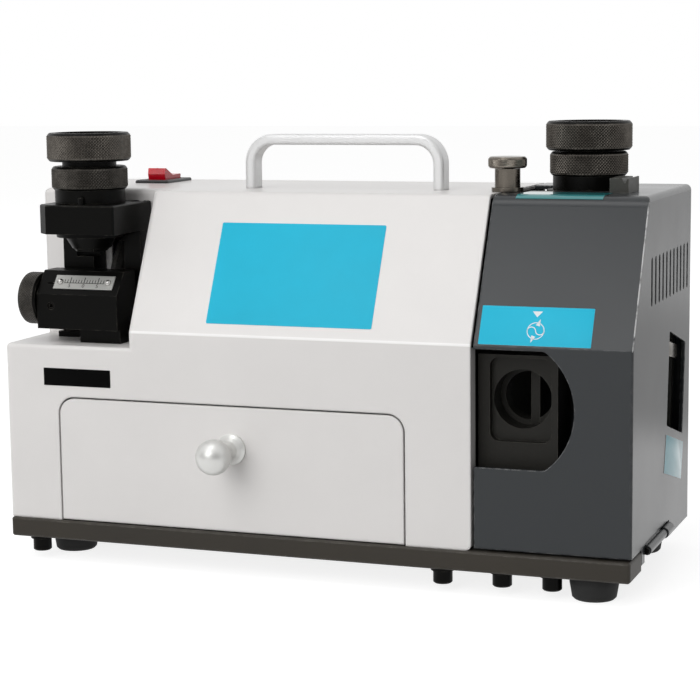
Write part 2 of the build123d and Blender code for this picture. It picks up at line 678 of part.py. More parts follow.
for x in ASCREW_X:
    arm -= rod_z(x, ASCREW_Y, ARM_Z0 - 1, ARM_Z1 + 1, ASCREW_R + RUN)
    arm -= rod_z(x, ASCREW_Y, ARM_Z1 - 5, ARM_Z1 + 1, AHEAD_R + 0.1)
put(arm, "bracket_arm")
dowel = rod_z(PIN_X, PIN_Y, ARM_Z1 - 6, ARM_Z1 + 4, DOWEL_R)
put(chamfer(dowel.edges().sort_by(Axis.Z)[-1], 0.4), "dowel_pin")
ascrews = []
for x in ASCREW_X:
    sc = rod_z(x, ASCREW_Y, ARM_Z1 - 5, ARM_Z1 - 0.4, AHEAD_R)
    sc += rod_z(x, ASCREW_Y, ARM_Z0 - 9, ARM_Z1 - 3, ASCREW_R)
    ascrews.append(sc - extrude(Pos(x, ASCREW_Y, ARM_Z1 - 3) * RegularPolygon(2.3, 6), amount=4))
put(group(ascrews), "arm_screws")

# Feed block with a chamfer for the scale, open at the back for the nut lug
blk_pts = [(BLK_Y0, BLK_Z0), (BLK_Y0, BLK_Z1 - BLK_CZ), (BLK_Y0 + BLK_CY, BLK_Z1)]
blk_pts += [(BLK_Y1, BLK_Z1), (BLK_Y1, BLK_Z0)]
block = slab_x(blk_pts, BLK_X0, BLK_X1)
LUG_ROOM = FEED_TRAVEL + 1.0
ROOM_HALF = LUG_HALF + 1.0
block -= box(
    LUG_X0 - LUG_ROOM, LUG_X1 + LUG_ROOM, BLK_Y0 + 4, BLK_Y1 + 1, FEED_Z - ROOM_HALF, FEED_Z + ROOM_HALF
)
SCREW_X1 = LUG_X1 + 14.0
block -= rod_x(FEED_Y, FEED_Z, BLK_X0 - 1, SCREW_X1 + 0.5, FEED_R + RUN)
PLUG_X = BLK_X0 + 8.0
PLUG_Z = FEED_Z - 2.7
PLUG_R = 2.0
block -= rod_y(PLUG_X, PLUG_Z, BLK_Y0 - 1, BLK_Y0 + 3.6, PLUG_R)
put(block, "feed_block")
plug = rod_y(PLUG_X, PLUG_Z, BLK_Y0 + 0.6, BLK_Y0 + 3.6, PLUG_R)
plug -= Pos(PLUG_X, BLK_Y0 + 2.2, PLUG_Z) * Rot(90, 0, 0) * extrude(RegularPolygon(1.1, 6), amount=4)
put(plug, "set_screw")
put(box(BLK_X0 + 22, BLK_X1 - 1, BLK_Y0 + 5, BLK_Y1 - 1, SHELF_Z, BLK_Z0), "feed_base")

# Scale plate on the chamfer, with two rivets
tilt = math.degrees(math.atan2(BLK_CZ, BLK_CY))
SCALE_X = (BLK_X0 + BLK_X1) / 2 + 2.6
mid_y = BLK_Y0 + BLK_CY / 2
mid_z = BLK_Z1 - BLK_CZ / 2
on_plate = Pos(SCALE_X, mid_y, mid_z) * Rot(tilt, 0, 0)
put(on_plate * Pos(0, 0, SCALE_T / 2) * Box(SCALE_L, SCALE_W, SCALE_T), "scale_plate")
rivets = []
for dx in (-SCALE_L / 2 + 3.2, SCALE_L / 2 - 3.2):
    dome = Pos(dx, 0, SCALE_T) * (Sphere(1.7) & Pos(0, 0, 2) * Box(5, 5, 4))
    rivets.append(on_plate * dome)
put(group(rivets), "plate_rivets")

# Feed knob and screw, along X
FKNOB_X1 = BLK_X0 - GAP
FKNOB_X0 = FKNOB_X1 - FKNOB_T
fk_pts = [(0, FKNOB_X0), (FKNOB_R - 1, FKNOB_X0), (FKNOB_R, FKNOB_X0 + 1), (FKNOB_R, FKNOB_X1 - 1)]
fk_pts += [(FKNOB_R - 1, FKNOB_X1), (0, FKNOB_X1)]
fknob = turned_x(fk_pts, FEED_Y, FEED_Z) - rod_x(FEED_Y, FEED_Z, FKNOB_X0 + 2, FKNOB_X1 + 1, FEED_R)
put(fknob, "feed_knob")
put(rod_x(FEED_Y, FEED_Z, FKNOB_X0 + 2, SCREW_X1, FEED_R), "feed_screw")

# Chucks: body with knurled ring and cone nose, slotted collet and clamp nut
SPIGOT_L = ARM_Z1 - ARM_Z0 + 1.2


def chuck(x, y, seat_z, neck, side):
    """One chuck on its seat, written as body, collet and clamp nut."""
    z0 = seat_z + GAP - 0.1
    z_ring = z0 + SKIRT_H
    z_neck = z_ring + RING_H
    z_nut = z_neck + neck
    z_tip = z0 - SPIGOT_L
    pts = [(CHUCK_BORE_R, z_tip - CONE_H), (CONE_R, z_tip - CONE_H), (SPIGOT_R, z_tip), (SPIGOT_R, z0)]
    pts += [(SKIRT_R, z0), (SKIRT_R, z_ring), (RING_R - 0.8, z_ring), (RING_R, z_ring + 0.8)]
    pts += [(RING_R, z_neck - 0.8)]
    pts += [(RING_R - 0.8, z_neck), (NECK_R, z_neck)]
    pts += [(NECK_R, z_nut + NECK_UP), (CHUCK_BORE_R, z_nut + NECK_UP)]
    put(turned(pts, x, y), f"{side}_chuck_body")
    nut = [(NECK_R + RUN, z_nut), (NUT_R - 1, z_nut), (NUT_R, z_nut + 1), (NUT_R, z_nut + NUT_H - 1)]
    nut += [(NUT_R - 1, z_nut + NUT_H), (NUT_R - 4, z_nut + NUT_H), (NUT_R - 4.6, z_nut + NUT_H - 1.4)]
    nut += [(TOOL_R + 1.5, z_nut + NUT_H - 1.4), (TOOL_R + 1.5, z_nut + NECK_UP + 0.5)]
    nut += [(NECK_R + RUN, z_nut + NECK_UP + 0.5)]
    put(turned(nut, x, y), f"{side}_clamp_nut")
    z_end = z_tip - CONE_H - 1.5
    col = [(TOOL_R, z_end), (CHUCK_BORE_R - 0.6, z_end), (CHUCK_BORE_R - RUN, z_end + 1)]
    col += [(CHUCK_BORE_R - RUN, z_nut + NECK_UP - 0.5), (TOOL_R, z_nut + NECK_UP - 0.5)]
    collet = turned(col, x, y)
    for a in (0, 60, 120):
        collet -= Pos(x, y, z_end + 12) * Rot(0, 0, a) * Box(2.4 * CHUCK_BORE_R, 0.8, 26)
    put(collet, f"{side}_collet")


chuck(CHUCK_LX, CHUCK_LY, ARM_Z1, NECK_L, "left")
chuck(CHUCK_RX, CHUCK_RY, SEAT_Z1, NECK_RT, "right")

# Bulkhead that closes the housing and carries the right station
SHAFT_HOLE_R = 14.0
bulk = slab_x(hood_profile(FRONT_Y, WALL + GAP, 0), BULK_X0, BULK_X1)
bulk -= rod_x(AXIS_Y, AXIS_Z, BULK_X0 - 1, BULK_X1 + 1, SHAFT_HOLE_R)
bulk -= rod_z(PLUNGE_X, PLUNGE_Y, TOP_Z - 30, TOP_Z + 1, PLUNGE_R + GAP)
put(bulk, "bulkhead")

# Shelf plate over the drawer, cradle and motor
MSHELF_X0 = HOOD_X + 3.0
put(box(MSHELF_X0, BULK_X0, MSHELF_Y0, BACK_Y - WALL, SHELF2_Z, SHELF2_Z + SHELF2_T), "motor_shelf")
CRADLE_Z0 = SHELF2_Z + SHELF2_T
CRADLE_W = MOTOR_R - CRADLE_SIDE
CRADLE_Z1 = AXIS_Z - MOTOR_R + CRADLE_UP
CRADLE_X0 = MOTOR_X0 + CRADLE_IN
CRADLE_X1 = MOTOR_X1 - CRADLE_IN
cradle = box(CRADLE_X0, CRADLE_X1, AXIS_Y - CRADLE_W, AXIS_Y + CRADLE_W, CRADLE_Z0, CRADLE_Z1)
cradle -= rod_x(AXIS_Y, AXIS_Z, MOTOR_X0, MOTOR_X1, MOTOR_R)
put(cradle, "motor_cradle")
motor = rod_x(AXIS_Y, AXIS_Z, MOTOR_X0, MOTOR_X1, MOTOR_R)
motor += rod_x(AXIS_Y, AXIS_Z, MOTOR_X0 - 10, MOTOR_X1 + 10, MOTOR_R - 3)
motor += rod_x(AXIS_Y, AXIS_Z, MOTOR_X0 - 16, MOTOR_X1 + 16, HUB_R)
motor -= rod_x(AXIS_Y, AXIS_Z, MOTOR_X0 - 30, MOTOR_X1 + 30, SHAFT_R + RUN)
put(motor, "motor_body")

# Spindle with a thin wheel at the left and a cup wheel at the right
SPIN_X0 = LWHEEL_X - LWHEEL_T / 2 - FLANGE_T - NUT_T - 1.0
SPIN_X1 = RWHEEL_X0 + RWHEEL_T + 4.0
put(rod_x(AXIS_Y, AXIS_Z, SPIN_X0, SPIN_X1, SHAFT_R), "spindle")
LW0 = LWHEEL_X - LWHEEL_T / 2
LW1 = LWHEEL_X + LWHEEL_T / 2
lw_pts = [(SHAFT_R, LW0), (LWHEEL_R - 3, LW0), (LWHEEL_R, LW0 + 1.8)]
lw_pts += [(LWHEEL_R, LW1 - 1.8), (LWHEEL_R - 3, LW1), (SHAFT_R, LW1)]
put(turned_x(lw_pts, AXIS_Y, AXIS_Z), "left_wheel")
flanges = []
for x0, x1 in ((LW0 - FLANGE_T, LW0), (LW1, LW1 + FLANGE_T)):
    flanges.append(rod_x(AXIS_Y, AXIS_Z, x0, x1, FLANGE_R) - rod_x(AXIS_Y, AXIS_Z, x0 - 1, x1 + 1, SHAFT_R))
NUT_X0 = LW0 - FLANGE_T - NUT_T
hexnut = Pos(NUT_X0, AXIS_Y, AXIS_Z) * Rot(0, 90, 0) * extrude(RegularPolygon(NUT_AF_R, 6), amount=NUT_T)
flanges.append(hexnut - rod_x(AXIS_Y, AXIS_Z, NUT_X0 - 1, LW0, SHAFT_R))
put(group(flanges), "left_flanges")
RW1 = RWHEEL_X0 + RWHEEL_T
rw_pts = [(SHAFT_R, RWHEEL_X0), (RWHEEL_R - 6, RWHEEL_X0), (RWHEEL_R, RWHEEL_X0 + 6), (RWHEEL_R, RW1)]
rw_pts += [(RWHEEL_R - 7, RW1), (RWHEEL_R - 9, RWHEEL_X0 + 8), (SHAFT_R, RWHEEL_X0 + 8)]
put(turned_x(rw_pts, AXIS_Y, AXIS_Z), "right_wheel")
rflange = rod_x(AXIS_Y, AXIS_Z, RWHEEL_X0 - FLANGE_T, RWHEEL_X0, FLANGE_R)
rnut = Pos(RWHEEL_X0 + 8, AXIS_Y, AXIS_Z) * Rot(0, 90, 0) * extrude(RegularPolygon(NUT_AF_R, 6), amount=NUT_T)
bore = rod_x(AXIS_Y, AXIS_Z, RWHEEL_X0 - 8, RW1 + 1, SHAFT_R)
put(group([rflange - bore, rnut - bore]), "right_flanges")

# Right seat: round boss for the chuck, arm to the bulkhead, boss for the plunger
SEAT_Z0 = SEAT_Z1 - SEAT_T
BOSS_Z1 = TOP_Z - WALL - GAP
seat = rod_z(CHUCK_RX, CHUCK_RY, SEAT_Z0, SEAT_Z1, SEAT_R)
seat += box(BULK_X1, CHUCK_RX, CHUCK_RY - SEAT_ARM, CHUCK_RY + SEAT_ARM, SEAT_Z0, BOSS_Z1)
seat += box(BULK_X1, PLUNGE_X + BOSS, PLUNGE_Y - BOSS, CHUCK_RY, SEAT_Z0, BOSS_Z1)
seat -= rod_z(CHUCK_RX, CHUCK_RY, SEAT_Z0 - 1, SEAT_Z1 + 1, SPIGOT_R + RUN)
seat -= rod_z(PLUNGE_X, PLUNGE_Y, SEAT_Z0 - 1, SEAT_Z1 + 1, PLUNGE_R)
put(seat, "right_seat")

# Pull plunger: sleeve with a flange, pin with a knob, spring inside
LIP_R = 8.0
SLEEVE_Z1 = TOP_Z + 11.4
PPIN_R = 3.0
CAP_R = 9.5
CAP_H = 5.6
SPRING_R = 4.1
WIRE_R = 0.45
COLLAR_Z = SEAT_Z0 + 4.0
sleeve = rod_z(PLUNGE_X, PLUNGE_Y, SEAT_Z0, SLEEVE_Z1, PLUNGE_R)
sleeve += rod_z(PLUNGE_X, PLUNGE_Y, TOP_Z + 0.2, TOP_Z + 2.2, LIP_R)
sleeve -= rod_z(PLUNGE_X, PLUNGE_Y, SEAT_Z0 - 1, SLEEVE_Z1 + 1, PPIN_R + RUN)
sleeve -= rod_z(PLUNGE_X, PLUNGE_Y, COLLAR_Z - GAP, SLEEVE_Z1 - 3, PLUNGE_R - 1.2)
put(sleeve, "plunger_sleeve")
CAP_Z0 = SLEEVE_Z1 + GAP
cap = chamfer(rod_z(PLUNGE_X, PLUNGE_Y, CAP_Z0, CAP_Z0 + CAP_H, CAP_R).edges(), 0.7)
cap += rod_z(PLUNGE_X, PLUNGE_Y, SEAT_Z0 - 2, CAP_Z0 + 1, PPIN_R)
cap += rod_z(PLUNGE_X, PLUNGE_Y, COLLAR_Z, COLLAR_Z + 2, PLUNGE_R - 1.2 - GAP)
put(cap, "plunger_pin")
SPRING_Z0 = COLLAR_Z + 2 + WIRE_R
SPRING_L = SLEEVE_Z1 - 3 - WIRE_R - SPRING_Z0
coil = Helix(pitch=SPRING_L / 5, height=SPRING_L, radius=SPRING_R)
ring = Plane(coil @ 0, z_dir=coil % 0) * Circle(WIRE_R)
spring = sweep(ring, path=coil)
put(Pos(PLUNGE_X, PLUNGE_Y, SPRING_Z0) * spring, "plunger_spring")

# Setting block in the front opening, with a locating blade in its bore
BLADE_X0 = SET_BX + 0.8
BLADE_X1 = BLADE_X0 + 4.5
BLADE_Y0 = SET_Y0 + SET_STEP + 12.0
BLADE_Y1 = BLADE_Y0 + 6.0
setter = box(SET_X0, SET_X1, SET_Y0, SET_Y1, SET_Z0, SET_Z1)
setter += box(BULK_X1, SET_X0 + 1, SET_Y0 + 9, SET_Y1, SET_Z0 + 8, SET_Z1 - 4)
STEP_HALF = SET_BORE_R + 6.0
step = box(SET_BX - 15.4, SET_BX + 15.2, SET_Y0 - 1, SET_Y0 + SET_STEP, SET_BZ - STEP_HALF, SET_BZ + STEP_HALF)
setter -= fillet(edges_along(step, Axis.Y, lambda c: True), 4.5)
setter -= rod_y(SET_BX, SET_BZ, SET_Y0 - 1, BLADE_Y0, SET_BORE_R)
setter -= rod_y(SET_BX, SET_BZ, SET_Y0 - 1, SET_Y1 + 1, SET_BORE_R - SET_SHOULDER)
blade = box(BLADE_X0, BLADE_X1, BLADE_Y0, BLADE_Y1, SET_BZ - SET_BORE_R - 2, SET_BZ + SET_BORE_R + 2)
setter -= blade
put(setter, "setting_block")
put(blade, "setting_blade")

# Grey cover: sloped shell, open to the left and below, hanging past the base on the right
CT = WALL
COVER_FRONT_R = 9.0
COVER_SIDE_R = 3.0


def cover_body(t, x0, x1, z_bottom):
    """Body of the cover set in by t, rounded at the top of its slope and along the top of its side."""
    z1 = TOP_Z - t
    body = slab_x(hood_profile(COVER_Y, t, z_bottom), x0, x1)
    body = round_edges(body, [lambda c: near(c.Z, z1) and c.Y < SLOPE_Y + 4], COVER_FRONT_R - t)
    limit = box(x0, x1, COVER_Y - 1, BACK_Y + 1, z_bottom, z1)
    limit = fillet(edges_along(limit, Axis.Y, lambda c: near(c.X, x1) and near(c.Z, z1)), COVER_SIDE_R - t / 2)
    return body & limit


shell = cover_body(0, COVER_X0, COVER_X1, COVER_LIFT)
shell = round_edges(
    shell,
    [
        lambda c: near(c.X, COVER_X1) and near(c.Y, COVER_Y) and c.Z < CREASE_Z,
        lambda c: near(c.X, COVER_X1) and near(c.Y, BACK_Y),
    ],
    1.2,
)
shell -= cover_body(CT, COVER_X0 - 1, COVER_X1 - CT, COVER_LIFT - 1)
SKIRT_Y0 = LIP_D + 0.8
shell += box(COVER_X1 - CT, COVER_X1, SKIRT_Y0, BACK_Y - 1, -COVER_DROP, COVER_LIFT + 2)

# Front opening of the cover, open to its left edge
POCKET_X = COVER_X0 + POCKET_IN
POCKET_Z = (POCKET_Z0 + POCKET_Z1) / 2
pocket = box(COVER_X0 - 1, POCKET_X, COVER_Y - 1, COVER_Y + CT + 1, POCKET_Z0, POCKET_Z1)
bow = rod_y(POCKET_X, POCKET_Z, COVER_Y - 1, COVER_Y + CT + 1, POCKET_R)
pocket += bow & box(POCKET_X, POCKET_X + POCKET_R, COVER_Y - 2, COVER_Y + CT + 2, POCKET_Z0, POCKET_Z1)
pocket = fillet(edges_along(pocket, Axis.Y, lambda c: c.X > POCKET_X + 1), POCKET_CORNER)
shell -= pocket

# Top slot for the chuck and the plunger, open to the left edge
shell -= box(COVER_X0 - 1, CHUCK_RX, CHUCK_RY - SLOT_HALF, CHUCK_RY + SLOT_HALF, TOP_Z - 5, TOP_Z + 2)
shell -= rod_z(CHUCK_RX, CHUCK_RY, TOP_Z - 5, TOP_Z + 2, SLOT_HALF)
shell -= rod_z(PLUNGE_X, PLUNGE_Y, TOP_Z - 5, TOP_Z + 2, CAP_R + 0.8)
shell -= box(COVER_X0 - 1, PLUNGE_X + CAP_R + 0.8, PLUNGE_Y, CHUCK_RY, TOP_Z - 5, TOP_Z + 2)

# Vents and tilted slot in the side
for i in range(VENT_N):
    y = VENT_Y1 - i * VENT_PITCH
    vent = box(COVER_X1 - CT - 1, COVER_X1 + 1, y - VENT_W / 2, y + VENT_W / 2, VENT_Z0, VENT_Z1)
    shell -= fillet(edges_along(vent, Axis.X, lambda c: True), VENT_W / 2 - 0.05)


def slot_points(k, dy, dz):
    """Corners of the tilted side slot, scaled about its centre and moved."""
    corners = ((-0.5, 0.5), (0.5, 0.5), (0.5, -0.5), (-0.5, -0.5))
    pts = []
    for a, b in corners:
        y = SIDE_Y + dy + k * (a * SIDE_U[0] + b * SIDE_V[0])
        z = SIDE_Z + dz + k * (a * SIDE_U[1] + b * SIDE_V[1])
        pts.append((y, z))
    return pts


tilted = slab_x(slot_points(1.0, 0, 0), COVER_X1 - CT - 1, COVER_X1 + 1)
shell -= fillet(edges_along(tilted, Axis.X, lambda c: True), 1.5)

# Room for the hinge at the foot of the side
HINGE_CUT_Z = HINGE_Z + HINGE_R + 1.2
shell -= box(COVER_X1 - CT - 1, COVER_X1 + 1, HINGE_Y0 - 3.0, HINGE_Y2 + 2.0, -COVER_DROP - 1, HINGE_CUT_Z)
put(shell, "right_cover")

# Hinge: tube and leaf on the cover, lug and pin on the base
LEAF_X0 = COVER_X1 - CT - 2.0
LEAF_X1 = COVER_X1 - CT
LEAF_UP = 22.0
WEB_Z0 = HINGE_Z + 0.8
tube = rod_y(HINGE_X, HINGE_Z, HINGE_Y0, HINGE_Y1, HINGE_R)
tube += box(LEAF_X0, LEAF_X1, HINGE_Y0 + 2, HINGE_Y1 - 2, WEB_Z0, HINGE_CUT_Z + LEAF_UP)
tube += box(LEAF_X0, HINGE_X - 1, HINGE_Y0 + 2, HINGE_Y1 - 2, WEB_Z0, HINGE_CUT_Z - 0.6)
tube -= rod_y(HINGE_X, HINGE_Z, HINGE_Y0 - 1, HINGE_Y1 + 1, PIN_R + RUN)
put(tube, "hinge_tube")
LUG_Y0 = HINGE_Y1 + GAP
LUG_R = HINGE_R + LUG_GROW
hlug = rod_y(HINGE_X, HINGE_Z, LUG_Y0, HINGE_Y2, LUG_R)
hlug += box(BASE_L - NOTCH, HINGE_X, LUG_Y0, HINGE_Y2, HINGE_Z - LUG_R, HINGE_Z - 0.5)
hlug += box(BASE_L - NOTCH, BASE_L - NOTCH + 2, LUG_Y0, HINGE_Y2, -BASE_T + 0.8, -0.8)
hlug -= rod_y(HINGE_X, HINGE_Z, LUG_Y0 - 1, HINGE_Y2 + 1, PIN_R)
put(hlug, "hinge_lug")
PHEAD_R = HINGE_R - 0.5
hpin = rod_y(HINGE_X, HINGE_Z, HINGE_Y0 - GAP - 1, HINGE_Y2, PIN_R)
phead = rod_y(HINGE_X, HINGE_Z, HINGE_Y0 - GAP - 1.8, HINGE_Y0 - GAP, PHEAD_R)
hpin += fillet(phead.edges().sort_by(Axis.Y)[0], 0.8)
put(hpin, "hinge_pin")

# Stop block on the cover, beside the chuck, with a V groove along its top
STOP_XM = STOP_X1 - 2.0
stop = box(STOP_X0, STOP_X1, STOP_Y0, STOP_Y1, TOP_Z, TOP_Z + STOP_H)
groove = [(STOP_XM - 1.4, TOP_Z + STOP_H + 0.1), (STOP_XM + 1.4, TOP_Z + STOP_H + 0.1), (STOP_XM, TOP_Z + STOP_H - 2.4)]
stop -= slab_y(groove, STOP_Y0 - 1, STOP_Y1 + 1)
put(stop, "stop_block")

# Side seat behind the tilted slot, with a jaw in its upper corner
SIDE_T = 17.0
SIDE_X1 = BASE_L - NOTCH - 1.0
SIDE_X0 = SIDE_X1 - SIDE_T
SIDE_GROW = 1.34
SIDE_OPEN = 1.04
LEG_HALF = 14.0
side = slab_x(slot_points(SIDE_GROW, 0, 0), SIDE_X0, SIDE_X1)
side += box(SIDE_X0, SIDE_X1, SIDE_Y - LEG_HALF, SIDE_Y + LEG_HALF, 0, SIDE_Z - LEG_HALF)
side -= slab_x(slot_points(SIDE_OPEN, 0, 0), SIDE_X0 - 1, SIDE_X1 + 1)
side += box(SIDE_X1 - 9, SIDE_X1, SIDE_Y - 21.5, SIDE_Y - 1, SIDE_Z + 16.2, SIDE_Z + 24.2)
put(side, "side_seat")
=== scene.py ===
"""Looks of a bench endmill grinder: a white housing, a grey hinged cover and two collet chucks."""

import logging
import math
from dataclasses import dataclass
from enum import Enum
from functools import cache
from typing import Callable, Sequence

import bmesh
import bpy
from bpy.types import Material, Node, NodeSocket, NodeTree, Object
from mathutils import Matrix, Vector


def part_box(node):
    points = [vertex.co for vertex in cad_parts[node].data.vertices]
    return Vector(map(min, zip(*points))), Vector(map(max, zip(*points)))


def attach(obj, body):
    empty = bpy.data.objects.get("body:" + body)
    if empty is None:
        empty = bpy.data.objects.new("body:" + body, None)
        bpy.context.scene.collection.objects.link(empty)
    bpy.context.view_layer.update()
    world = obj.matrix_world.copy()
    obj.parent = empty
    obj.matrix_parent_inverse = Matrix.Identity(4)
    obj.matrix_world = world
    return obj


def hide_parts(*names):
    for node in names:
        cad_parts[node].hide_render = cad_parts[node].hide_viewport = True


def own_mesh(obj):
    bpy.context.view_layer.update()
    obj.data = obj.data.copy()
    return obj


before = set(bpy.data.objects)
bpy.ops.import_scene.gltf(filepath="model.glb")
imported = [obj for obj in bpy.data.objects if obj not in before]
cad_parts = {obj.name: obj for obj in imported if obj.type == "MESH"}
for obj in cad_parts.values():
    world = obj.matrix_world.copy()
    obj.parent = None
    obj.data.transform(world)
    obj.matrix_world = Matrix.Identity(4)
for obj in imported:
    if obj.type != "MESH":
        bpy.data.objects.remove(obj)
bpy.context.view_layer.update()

Pair = tuple[float, float]
Triple = tuple[float, float, float]

LOG = logging.getLogger("endmill_grinder")
MM = 0.001
SMOOTH_ANGLE = 32.0  # degrees up to which two faces shade as one
FRONT_FACING = 0.9  # how far along Z the normal of a front points at least
KNURL_LIFT = 0.03  # mm from the solid to the foot of its knurl
SIDE_FILM_TILT = -14.7  # degrees from upright
WHITE: Triple = (1.0, 1.0, 1.0)

# The work zero is the base's front left top corner; the frame's origin lies under the middle of the machine.
ZERO = Vector((-165.55, -56.3, 22.0))

FROM_FRONT = (0.0, 1.0, 0.0)
FROM_RIGHT = (-1.0, 0.0, 0.0)
FROM_TOP = (0.0, 0.0, -1.0)
UP = (0.0, 0.0, 1.0)
BACK = (0.0, 1.0, 0.0)


def at(x: float, y: float, z: float) -> Vector:
    """Turns a place, in millimetres right of, behind and over the work zero, into the frame's metres."""
    return (Vector((x, y, z)) + ZERO) * MM


class Slot(Enum):
    """Slots of the record that the added pieces list."""

    WHITE_PAINT = "white_paint"
    GREY_PAINT = "grey_paint"
    BLACK_OXIDE = "black_oxide"
    BRIGHT_STEEL = "bright_steel"
    BRONZE_STEEL = "bronze_steel"
    RUBBER = "rubber"
    BLACK_PLASTIC = "black_plastic"
    RED_PLASTIC = "red_plastic"


class Tree:
    """A node tree with short ways to add nodes and to join them."""

    def __init__(self, tree: NodeTree) -> None:
        """Keeps the tree that nodes are added to."""
        self.tree = tree

    def add(self, kind: str, settings: dict | None = None, **values: object) -> Node:
        """Adds a node.

        Args:
            kind: Blender's name of the node type, without "ShaderNode".
            settings: Attributes of the node.
            values: Its inputs, as for fill.

        Returns:
            The new node.
        """
        node = self.tree.nodes.new("ShaderNode" + kind)
        for name, value in (settings or {}).items():
            setattr(node, name, value)
        self.fill(node, **values)
        return node

    def fill(self, node: Node, **values: object) -> None:
        """Fills a node's inputs.

        Args:
            node: The node.
            values: Input sockets by name, with _ for a space, or by number as i0.
                A socket is linked, any other value is set.
        """
        for name, value in values.items():
            key = int(name[1:]) if name[0] == "i" and name[1:].isdigit() else name.replace("_", " ")
            self.put(node.inputs[key], value)

    def put(self, socket: NodeSocket, value: object) -> None:
        """Links a socket or sets its value."""
        if isinstance(value, NodeSocket):
            self.tree.links.new(value, socket)
        else:
            socket.default_value = value

    def math(self, operation: str, a: object, b: object = 0.0, clamp: bool = False) -> NodeSocket:
        """Adds a Math node and returns its value."""
        return self.add("Math", {"operation": operation, "use_clamp": clamp}, i0=a, i1=b).outputs[0]

    def vector(self, operation: str, **values: object) -> Node:
        """Adds a Vector Math node and returns it."""
        return self.add("VectorMath", {"operation": operation}, **values)

    def ramp(
        self, value: object, low: float, high: float, to_low: object = 0.0, to_high: object = 1.0
    ) -> NodeSocket:
        """Maps a value from one range to another, clamped, and returns it."""
        ends = {"From_Min": low, "From_Max": high, "To_Min": to_low, "To_Max": to_high}
        return self.add("MapRange", {"clamp": True}, Value=value, **ends).outputs["Result"]

    def mix(self, factor: object, a: object, b: object) -> NodeSocket:
        """Mixes two colours and returns the colour."""
        return self.add("Mix", {"data_type": "RGBA"}, i0=factor, i6=a, i7=b).outputs[2]

    def place(self) -> NodeSocket:
        """Returns the Object coordinates."""
        return self.add("TexCoord").outputs["Object"]

    def noise(self, where: object, scale: object, detail: float = 3.0, rough: float = 0.5) -> NodeSocket:
        """Returns a noise value."""
        return self.add("TexNoise", Vector=where, Scale=scale, Detail=detail, Roughness=rough).outputs["Fac"]

    def bent(self, radius: object) -> NodeSocket:
        """Returns a normal that is rounded over edges."""
        return self.add("Bevel", {"samples": 4}, Radius=radius).outputs[0]


def rgba(colour: Sequence[float], shade: float = 1.0) -> tuple[float, ...]:
    """Returns a colour, darkened by a factor, with full cover."""
    return (*(part * shade for part in colour), 1.0)


class Effect(Enum):
    """Surface effects that several finishes share, as shader node groups."""

    EDGE_WEAR = "edge_wear"
    GRAIN = "grain"
    DUST = "dust"
    BRUSHED = "brushed"
    SCUFFS = "scuffs"

    def group(self) -> NodeTree:
        """Returns the node group, made on its first use."""
        made = bpy.data.node_groups.get(self.value)
        if made is None:
            made = bpy.data.node_groups.new(self.value, "ShaderNodeTree")
            {
                Effect.EDGE_WEAR: edge_wear_nodes,
                Effect.GRAIN: grain_nodes,
                Effect.DUST: dust_nodes,
                Effect.BRUSHED: brushed_nodes,
                Effect.SCUFFS: scuff_nodes,
            }[self](made)
        return made

    def use(self, tree: Tree, **values: object) -> Node:
        """Places the group in a material's tree, its inputs given as for fill, and returns its node."""
        node = tree.tree.nodes.new("ShaderNodeGroup")
        node.node_tree = self.group()
        tree.fill(node, **values)
        return node

    def mask(self, tree: Tree, **values: object) -> NodeSocket:
        """Places the group, as use does, and returns its mask."""
        return self.use(tree, **values).outputs["Mask"]


def sockets(
    group: NodeTree, inputs: dict[str, float], outputs: Sequence[str]
) -> tuple[Tree, dict[str, NodeSocket], dict[str, NodeSocket]]:
    """Gives a group its inputs with their usual values and its outputs; returns its tree and both by name."""
    for name, value in inputs.items():
        group.interface.new_socket(name, in_out="INPUT", socket_type="NodeSocketFloat").default_value = value
    for name in outputs:
        group.interface.new_socket(name, in_out="OUTPUT", socket_type="NodeSocketFloat")
    source = group.nodes.new("NodeGroupInput")
    sink = group.nodes.new("NodeGroupOutput")
    given = {name: source.outputs[name] for name in inputs}
    return Tree(group), given, {name: sink.inputs[name] for name in outputs}


def edge_wear_nodes(group: NodeTree) -> None:
    """Mask of rubbed edges: where a rounded normal leaves the plain one, broken up by noise."""
    tree, given, out = sockets(group, {"Radius": 0.0006, "Amount": 1.0, "Breakup": 220.0}, ["Mask"])
    plain = tree.add("NewGeometry").outputs["Normal"]
    along = tree.vector("DOT_PRODUCT", i0=tree.bent(given["Radius"]), i1=plain).outputs["Value"]
    edge = tree.ramp(along, low=0.995, high=0.90)
    spots = tree.noise(tree.place(), given["Breakup"], detail=4.0, rough=0.6)
    worn = tree.math("MULTIPLY", edge, tree.ramp(spots, low=0.42, high=0.66))
    tree.put(out["Mask"], tree.math("MULTIPLY", worn, given["Amount"], clamp=True))


def grain_nodes(group: NodeTree) -> None:
    """Fine height of a sprayed or cast surface, and a slow mottle of its tone."""
    tree, given, out = sockets(group, {"Scale": 900.0, "Mottle Scale": 14.0}, ["Height", "Mottle"])
    where = tree.place()
    fine = tree.noise(where, given["Scale"], detail=2.0)
    coarse = tree.math("MULTIPLY", given["Scale"], 0.22)
    wave = tree.noise(where, coarse, detail=2.0)
    height = tree.math("ADD", tree.math("MULTIPLY", fine, 0.5), tree.math("MULTIPLY", wave, 0.5))
    tree.put(out["Height"], height)
    slow = tree.noise(where, given["Mottle Scale"], detail=4.0, rough=0.6)
    tree.put(out["Mottle"], tree.ramp(slow, low=0.3, high=0.7))


